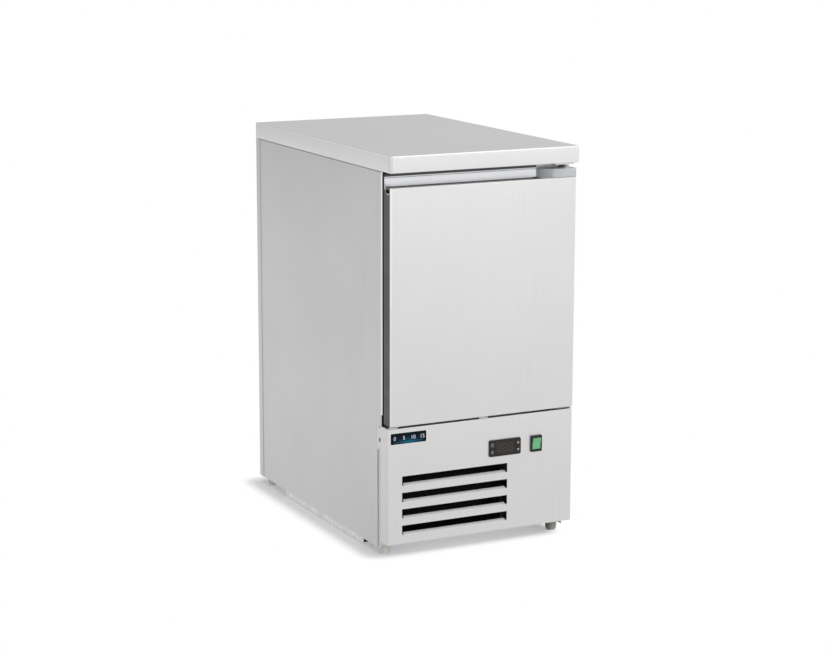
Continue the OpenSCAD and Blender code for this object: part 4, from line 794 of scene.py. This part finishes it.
condenser_low, condenser_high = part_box("condenser_coil")
shroud_low, shroud_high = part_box("condenser_shroud")
coil_step = (condenser_high.z - condenser_low.z) / 5
coil_mid_y = middle_of(condenser_low, condenser_high).y
CONDENSER_BENDS, CONDENSER_BEND_R, CONDENSER_BEND_OFFSET = 4, 10 * MM, 11 * MM
condenser_rows = [(side, coil_mid_y + side * CONDENSER_BEND_OFFSET, first, coil_step, CONDENSER_BENDS,
                   CONDENSER_BEND_R) for side, first in ((-1, 30 * MM), (1, 50 * MM))]
finned_coil("condenser_fins", "condenser_coil", 5 * MM, 3.2 * MM, "coated_fins",
            (shroud_low.x, shroud_high.x), condenser_rows)

evaporator_low, evaporator_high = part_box("evaporator_coil")
evaporator_row = (-1, middle_of(evaporator_low, evaporator_high).y, 24 * MM, 36 * MM, 3, 8 * MM)
finned_coil("evaporator_fins", "evaporator_coil", 2 * MM, 3.6 * MM, "coil_aluminium",
            (-evaporator_high.x, evaporator_high.x), [evaporator_row])


# Fans

BLADE_COUNT, BLADE_SHEET = 5, 1.2 * MM
SHAFT_R = 3 * MM
hinge_place = {joint["child"]: joint["pos_m"] for joint in frame["joints"] if joint["type"] == "hinge"}


def fan(body, material_slot, hub_r, tip_r, chord, pitch):
    """Hub with cambered, twisted blades in a ring and a shaft towards the motor."""
    name, node = body + "_rotor", body + "_blade"
    low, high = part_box(node)
    centre = Vector((middle_of(low, high).x, *hinge_place[body][1:]))
    across, out = 6, 7
    points = []
    for i in range(out):
        reach = i / (out - 1)
        r = hub_r * 0.9 + (tip_r - hub_r * 0.9) * reach
        twist = math.radians(pitch * (1.25 - 0.5 * reach))
        width = chord * (0.72 + 0.42 * math.sin(math.pi * (0.2 + 0.6 * reach)))
        for j in range(across):
            u = (j / (across - 1) - 0.5) * width
            bow = 0.1 * width * (1 - (2 * u / width) ** 2)
            x = u * math.cos(twist) + bow * math.sin(twist)
            points.append(Vector((x, u * math.sin(twist) - bow * math.cos(twist), math.sqrt(r * r - x * x))))
    faces = [(i * across + j, i * across + j + 1, (i + 1) * across + j + 1, (i + 1) * across + j)
             for i in range(out - 1) for j in range(across - 1)]
    blade = mesh_object(name + "_blade", points, faces)
    shell = bmesh.new()
    shell.from_mesh(blade.data)
    bmesh.ops.solidify(shell, geom=shell.faces[:], thickness=BLADE_SHEET)
    bmesh.ops.recalc_face_normals(shell, faces=shell.faces)
    shell.to_mesh(blade.data)
    shell.free()
    blade_ring = ring(name + "_blades", blade, BLADE_COUNT, centre, Y_AXIS, finishes[material_slot])
    half, shaft_end = hub_r * 0.54, high.y - centre.y
    hub_profile = [(0, -half), (hub_r * 0.8, -half), (hub_r * 0.96, -half * 0.8), (hub_r, -half * 0.5),
                   (hub_r, half), (hub_r * 0.85, half), (hub_r * 0.8, 0), (SHAFT_R, 0), (SHAFT_R, shaft_end),
                   (0, shaft_end)]
    hub = turned(name + "_hub", hub_profile, centre, Y_AXIS, 40)
    finish_piece(joined(name, [blade_ring, hub]), material_slot, body, [node])


fan("condenser_fan", "fan_aluminium", hub_r=22 * MM, tip_r=90 * MM, chord=38 * MM, pitch=32)
fan("evaporator_fan", "fan_plastic", hub_r=14 * MM, tip_r=51 * MM, chord=20 * MM, pitch=30)


# Folded front edges of the side panels, and strips of painted shade in the seams below them

FOLD_R = 2.6 * MM
FOLD_OUT = 1.1 * MM
FOLD_LIT, FOLD_DARK = (1.8 * MM, 1.25), (2.8 * MM, 0.07)
SEAM_SHADE_W, SEAM_SHADE_OUT, SEAM_SHADE_IN = 4.2 * MM, 0.7 * MM, 0.1 * MM


def fold_finish(node, outer, inward):
    """Front steel with a painted highlight on the outer half of the fold and painted shade on the half beside the
    door.
    """
    material = brushed_steel(node + "_fold_steel", FRONT_STEEL, 0.36, "Z", seed=4)
    ends = sorted((outer + inward * inset, tone) for inset, tone in (FOLD_LIT, FOLD_DARK))
    places, tones = zip(*ends)
    shade_along(material, "X", places, *tones)
    return material


# Painted shade: grey strips stand in the seams between the side panels and the front panel, where there is only
# shadow
seam_shade_finish = moulded_plastic("grey_seal", (0.4, 0.4, 0.39), 0.7)
side_low, side_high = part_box("side_panel_left")
fold_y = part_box("front_frame")[0].y + FOLD_R - FOLD_OUT
fold_low, fold_high = bracket_high.z + 1 * MM, side_high.z - 1.5 * MM
fold_profile = [(0, 0), (FOLD_R, 0), (FOLD_R, fold_high - fold_low), (0, fold_high - fold_low)]
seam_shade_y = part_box("front_panel")[1].y + 0.1 * MM
seam_shade_foot, seam_shade_top = side_low.z + 3 * MM, ear_low.z - 18 * MM
for node, inward in (("side_panel_left", 1), ("side_panel_right", -1)):
    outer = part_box(node)[0].x if inward > 0 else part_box(node)[1].x
    near, far = sorted((outer - inward * SEAM_SHADE_OUT, outer + inward * SEAM_SHADE_IN))
    seam_shade_strip = slab(node + "_seal", (near, seam_shade_y, seam_shade_foot), (far, seam_shade_y + SEAM_SHADE_W, seam_shade_top))
    finish_piece(seam_shade_strip, "machine_rubber", "cabinet", material=seam_shade_finish)
    fold_foot = Vector((outer + inward * FOLD_R, fold_y, fold_low))
    fold = turned(node + "_fold", fold_profile, fold_foot, steps=24)
    finish_piece(fold, "stainless_body", "cabinet", material=fold_finish(node, outer, inward))


# Feet

CUP_H = 24 * MM
CUP_TAPER = 3 * MM
THREAD_PITCH = 1.5 * MM
THREAD_ROOT, THREAD_CREST, STUD_TIP = 4.3 * MM, 5 * MM, 3.4 * MM
RIB_COUNT, RIB_HALF = 24, 0.75 * MM


def ribbed_foot(corner, material):
    """Ribbed cup on a threaded stud, under one corner."""
    low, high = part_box("foot_" + corner)
    middle = middle_of(low, high)
    centre = Vector((middle.x, middle.y, 0))
    top_r = (high.x - low.x) / 2
    tip_r = top_r - CUP_TAPER
    cup = [(0, 0), (tip_r - 1.2 * MM, 0), (tip_r - 0.6 * MM, 0.8 * MM), (tip_r - 0.4 * MM, 2.4 * MM),
           (top_r - 1.7 * MM, CUP_H - 4.5 * MM), (top_r - 0.5 * MM, CUP_H - 3.8 * MM),
           (top_r, CUP_H - 3 * MM), (top_r, CUP_H - 0.8 * MM), (top_r - 0.8 * MM, CUP_H), (0, CUP_H)]
    stud = [(0, CUP_H - 1 * MM)]
    for k in range(int((high.z - CUP_H) / THREAD_PITCH)):
        z = CUP_H + k * THREAD_PITCH
        stud += [(THREAD_ROOT, z), (THREAD_CREST, z + THREAD_PITCH / 2)]
    stud += [(THREAD_ROOT, high.z - 1 * MM), (STUD_TIP, high.z), (0, high.z)]
    rib_outline = ((tip_r - 2 * MM, 2.2 * MM), (tip_r, 2.2 * MM), (top_r - 0.6 * MM, CUP_H - 4 * MM),
                   (top_r - 3 * MM, CUP_H - 4 * MM))
    rib_points = [Vector((x, r, z)) for x in (-RIB_HALF, RIB_HALF) for r, z in rib_outline]
    rib = mesh_object("rib", rib_points, capped_faces(2, len(rib_outline)), smooth=False)
    ribs = ring("ribs", rib, RIB_COUNT, centre, Z_AXIS, material)
    solids = [turned("cup", cup, centre, steps=48), turned("stud", stud, centre, steps=20), ribs]
    foot = joined("levelling_foot_" + corner, solids)
    finish_piece(foot, "foot_plastic", corner + "_foot", ["foot_" + corner], material)


# Painted shade: the front right foot in a darker copy of the foot moulding, darkest on its left side, as it stands
# in shadow
dim_foot = moulded_plastic("dim_foot_moulding", (0.3, 0.3, 0.265), 0.45)
dim_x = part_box("foot_front_right")[0].x
shade_along(dim_foot, "X", (dim_x + 2 * MM, dim_x + 10 * MM), 0.2, 1)
for corner in ("front_left", "front_right", "rear_left", "rear_right"):
    ribbed_foot(corner, dim_foot if corner == "front_right" else finishes["foot_plastic"])


# Printed marks and key symbols

PRINT = 0.06 * MM
SEGMENT_PRINT = 0.03 * MM


def on_face(name, outlines, face_y, centre, thickness=PRINT):
    """Thin printed shapes that stand just proud of a face, from outlines in millimetres round a centre."""
    shapes = [plate(name, [(x * MM, z * MM) for x, z in outline], thickness,
                    Vector((centre.x, face_y - thickness, centre.z))) for outline in outlines]
    return joined(name, shapes)


def bar(x0, z0, x1, z1, width):
    """Outline of a straight stroke between two points."""
    run = Vector((x1 - x0, z1 - z0))
    off = Vector((-run.y, run.x)).normalized() * (width / 2)
    return [(x0 + off.x, z0 + off.y), (x0 - off.x, z0 - off.y), (x1 - off.x, z1 - off.y),
            (x1 + off.x, z1 + off.y)]


def arc_strokes(radius, start, end, width, steps=10):
    """Strokes that follow an arc, in degrees."""
    at = [math.radians(start + (end - start) * i / steps) for i in range(steps + 1)]
    return [bar(radius * math.cos(a), radius * math.sin(a), radius * math.cos(b), radius * math.sin(b), width)
            for a, b in zip(at, at[1:])]


def crossing_stroke(degrees, reach, width):
    """Stroke through the centre at an angle."""
    x, z = reach * math.cos(math.radians(degrees)), reach * math.sin(math.radians(degrees))
    return bar(-x, -z, x, z, width)


KEY_SYMBOLS = {
    "key_up": [[(-3.4, -2.2), (3.4, -2.2), (0, 3.2)]],
    "key_down": [[(-3.4, 2.2), (0, -3.2), (3.4, 2.2)]],
    "key_set": arc_strokes(3.2, 130, 410, 1) + [bar(0, 0.6, 0, 4.4, 1)],
    "key_defrost": [crossing_stroke(degrees, 3.6, 0.9) for degrees in (30, 90, 150)],
}
for key, outlines in KEY_SYMBOLS.items():
    key_low, key_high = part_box(key)
    symbol = on_face("symbol_" + key, outlines, key_low.y, middle_of(key_low, key_high))
    finish_piece(symbol, "key_plastic", key.removeprefix("key_") + "_key", material=ink_dim)


def digit_segments(width, height, stroke):
    """Outlines of a seven-segment digit round its middle."""
    x, z = width / 2, height / 2
    gap = stroke * 0.6
    flat = [bar(-x + gap, h, x - gap, h, stroke) for h in (-z, 0, z)]
    upright = [bar(s * x, a + gap, s * x, b - gap, stroke) for s in (-1, 1) for a, b in ((-z, 0), (0, z))]
    return flat + upright


DIGIT = (8.5, 16.0, 1.5)
DIGIT_PLACES = (-12.5, 0, 12.5)
lens_low, lens_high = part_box("thermostat_display")
segments = [[(x + shift, z) for x, z in outline]
            for shift in DIGIT_PLACES for outline in digit_segments(*DIGIT)]
display = on_face("display_segments", segments, lens_low.y, middle_of(lens_low, lens_high), SEGMENT_PRINT)
finish_piece(display, "controller_lens", "cabinet", material=segment_dark)

TICKS, TICK_PITCH = 16, 4.2 * MM
TICK_WIDTH, TICK_HALF_HEIGHT = 0.6, 1.3
TICK_DROP, NUMBER_RISE = 7.4 * MM, 7.8 * MM
NUMBER_HEIGHT = 11.5 * MM
STEPS_PER_NUMBER = 5
label_low, label_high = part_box("temperature_label")
label_mid = middle_of(label_low, label_high)
tick_bar = bar(0, -TICK_HALF_HEIGHT, 0, TICK_HALF_HEIGHT, TICK_WIDTH)
tick = plate("tick", [(x * MM, z * MM) for x, z in tick_bar], PRINT, -PRINT * Y_AXIS)
tick_start = Vector((label_mid.x - TICK_PITCH * (TICKS - 1) / 2, label_low.y, label_mid.z - TICK_DROP))
ticks = row("ticks", tick, TICKS, tick_start, (TICK_PITCH, 0, 0), ink_teal)
finish_piece(ticks, "label_film", "cabinet", material=ink_teal)


def number_mesh(value, height, centre):
    """A plain number as flat mesh on a face that looks to -Y."""
    curve = bpy.data.curves.new("number", "FONT")
    curve.body = str(value)
    curve.size = height
    curve.align_x, curve.align_y = "CENTER", "CENTER"
    curve.extrude = PRINT / 2
    curve.resolution_u = 3
    text = link_object("number", curve)
    mesh = bpy.data.meshes.new_from_object(text.evaluated_get(bpy.context.evaluated_depsgraph_get()))
    bpy.data.objects.remove(text)
    mesh.transform(Matrix.Translation(centre) @ Matrix.Rotation(math.pi / 2, 4, "X"))
    return link_object(f"number_{value}", mesh)


number_start = tick_start + Vector((0, -PRINT / 2, NUMBER_RISE))
numbers = [number_mesh(value, NUMBER_HEIGHT, number_start + value * TICK_PITCH * X_AXIS)
           for value in range(0, TICKS, STEPS_PER_NUMBER)]
finish_piece(joined("label_numbers", numbers), "label_film", "cabinet", material=ink_pale)


# Label's glow, centred on its lower edge

GLOW_REACH, GLOW_RISE = (44 * MM, 44 * MM, 15 * MM), 3 * MM
GLOW_BLUE, GLOW_GROUND = (0.004, 0.08, 0.15), (0.0005, 0.003, 0.009)


def add_glow(material, centre):
    """Base colour that brightens from the ground to the blue towards a centre."""
    shift = [-c / r for c, r in zip(centre, GLOW_REACH)]
    stretch = [1 / r for r in GLOW_REACH]
    place = wired(material, "ShaderNodeMapping", object_place(material), shift, None, stretch)
    ball = wired(material, "ShaderNodeTexGradient", place.outputs[0], gradient_type="QUADRATIC_SPHERE")
    mixed_colour(material, ball.outputs["Fac"], GLOW_GROUND, GLOW_BLUE)


add_glow(finishes["label_film"], (label_mid.x, label_low.y, label_low.z + GLOW_RISE))


# Soft edges on moulded and folded CAD nodes

def soften(node, width):
    edge = nodes[node].modifiers.new("soft edges", "BEVEL")
    edge.width = width
    edge.segments = 2
    edge.limit_method = "ANGLE"
    edge.angle_limit = SMOOTH_ANGLE
    nodes[node].modifiers.move(len(nodes[node].modifiers) - 1, 1)


SOFT_EDGES = (
    (0.25 * MM, ("key_set", "key_defrost", "key_up", "key_down")),
    (0.3 * MM, ("switch_housing", "hinge_bracket_bottom")),
    (0.4 * MM, ("thermostat_housing", "hinge_plate_top")),
    (0.8 * MM, ("worktop", "grip_end_block")),
    (1 * MM, ("compressor_relay_box",)),
    (1.5 * MM, ("terminal_box",)),
)
for width, softened in SOFT_EDGES:
    for node in softened:
        soften(node, width)


# Stage, light and camera

IMAGE_W, FOCAL_PX = 829, 2179.0
SENSOR = 36.0
CAMERA_AT = Vector((-2.0949, -4.2185, 1.3712))
CAMERA_AZIMUTH, CAMERA_DROP, CAMERA_ROLL = math.radians(26.53), math.radians(11.46), math.radians(0.12)
FLOOR_COLOUR = (0.93, 0.93, 0.93, 1)
FLOOR_REACH = 6
WHITE = (1, 1, 1, 1)
FOOTPRINT_MIDDLE = (-0.023, 0.0285, 0)
FOOTPRINT = (0.193, 0.3115, 0)
SHADOW_BAND = (0.012, 0.055)
SHADOW_WHITENESS = 0.12
MIRRORED_MIDDLE = (0.3, -0.7, 0)
MIRRORED_FADE = (0.2, 2.4)
MIRRORED_WHITENESS = 0.86
EVEN_LIGHT = 0.55
BACK_FADE = (0.3, 1.0)
BACK_WHITENESS = 0.6


def smooth_step(owner, value, span, low, high=1.0):
    """Runs smoothly from low to high as the value runs through the span."""
    return fitted(owner, value, span, low, high, interpolation_type="SMOOTHSTEP")


def ray_is(owner, kind):
    return wired(owner, "ShaderNodeLightPath").outputs[f"Is {kind} Ray"]


def mirrored_ray(owner):
    """1 for rays from metal and through glass."""
    return reckoned(owner, "MAXIMUM", ray_is(owner, "Glossy"), ray_is(owner, "Transmission"))


def floor_finish():
    """Pale floor that keeps the counter's shadow close to its base and is white beyond it."""
    material = bpy.data.materials.new("pale_floor")
    material.use_nodes = True
    material.node_tree.nodes.clear()
    place = object_place(material)
    side = on_vectors(material, "ABSOLUTE", on_vectors(material, "SUBTRACT", place, FOOTPRINT_MIDDLE))
    off = on_vectors(material, "MAXIMUM", on_vectors(material, "SUBTRACT", side, FOOTPRINT), (0, 0, 0))
    gap = on_vectors(material, "LENGTH", off, result="Value")
    reach = on_vectors(material, "DISTANCE", place, MIRRORED_MIDDLE, result="Value")
    direct = ray_is(material, "Camera")
    whiteness = smooth_step(material, gap, SHADOW_BAND, SHADOW_WHITENESS)
    mirrored = smooth_step(material, reach, MIRRORED_FADE, MIRRORED_WHITENESS)
    seen_white = reckoned(material, "MULTIPLY", direct, whiteness)
    share = reckoned(material, "MAXIMUM", seen_white, mirrored_ray(material))
    strength = reckoned(material, "MAXIMUM", direct, mirrored)
    grey = wired(material, "ShaderNodeBsdfDiffuse", FLOOR_COLOUR).outputs[0]
    white = wired(material, "ShaderNodeEmission", WHITE, strength).outputs[0]
    shade = wired(material, "ShaderNodeMixShader", share, grey, white).outputs[0]
    wired(material, "ShaderNodeOutputMaterial", shade)
    return material


corners = [(x * FLOOR_REACH, y * FLOOR_REACH, 0) for x, y in ((-1, -1), (1, -1), (1, 1), (-1, 1))]
floor = mesh_object("floor", corners, [(0, 1, 2, 3)], smooth=False)
floor.data.materials.append(floor_finish())


def studio_world():
    """White background for camera, metal and glass, dimmer behind in the metal, over a soft even light."""
    world = bpy.data.worlds.new("studio")
    world.use_nodes = True
    world.node_tree.nodes.clear()
    place = wired(world, "ShaderNodeTexCoord").outputs["Generated"]
    backward = wired(world, "ShaderNodeSeparateXYZ", place).outputs["Y"]
    direct = ray_is(world, "Camera")
    shade = reckoned(world, "MAXIMUM", direct, smooth_step(world, backward, BACK_FADE, 1, BACK_WHITENESS))
    seen = reckoned(world, "MAXIMUM", direct, mirrored_ray(world))
    even = wired(world, "ShaderNodeBackground", WHITE, EVEN_LIGHT).outputs[0]
    white = wired(world, "ShaderNodeBackground", WHITE, shade).outputs[0]
    mix = wired(world, "ShaderNodeMixShader", seen, even, white).outputs[0]
    wired(world, "ShaderNodeOutputWorld", mix)
    bpy.context.scene.world = world


def softbox(name, place, target, size, power, reflected=False):
    light = bpy.data.lights.new(name, "AREA")
    light.shape = "RECTANGLE"
    light.size, light.size_y = size
    light.energy = power
    lamp = link_object(name, light)
    lamp.location = place
    lamp.rotation_euler = (Vector(target) - Vector(place)).to_track_quat("-Z", "Y").to_euler()
    lamp.visible_glossy = reflected


studio_world()
softbox("key", (2.2, -2.8, 2.6), (0, 0, 0.45), size=(2.2, 2.2), power=70)
softbox("front_fill", (-0.8, -3.6, 1.4), (0, 0, 0.4), size=(2.6, 2.2), power=30)
softbox("front_glow", (1.75, -3.85, 2.2), (0, -0.3, 0.6), size=(2.4, 2.0), power=22, reflected=True)
softbox("top", (0.4, 0.6, 3.2), (0, 0, 0.5), size=(2.4, 2.4), power=20)

camera_data = bpy.data.cameras.new("camera")
camera_data.sensor_width = SENSOR
camera_data.lens = FOCAL_PX / IMAGE_W * SENSOR
camera = link_object("camera", camera_data)
camera.location = CAMERA_AT
look = Vector((math.sin(CAMERA_AZIMUTH) * math.cos(CAMERA_DROP),
               math.cos(CAMERA_AZIMUTH) * math.cos(CAMERA_DROP), -math.sin(CAMERA_DROP)))
roll = Matrix.Rotation(CAMERA_ROLL, 3, "Z").to_quaternion()
camera.rotation_mode = "QUATERNION"
camera.rotation_quaternion = look.to_track_quat("-Z", "Y") @ roll
bpy.context.scene.camera = camera
bpy.context.scene.view_settings.view_transform = "Standard"
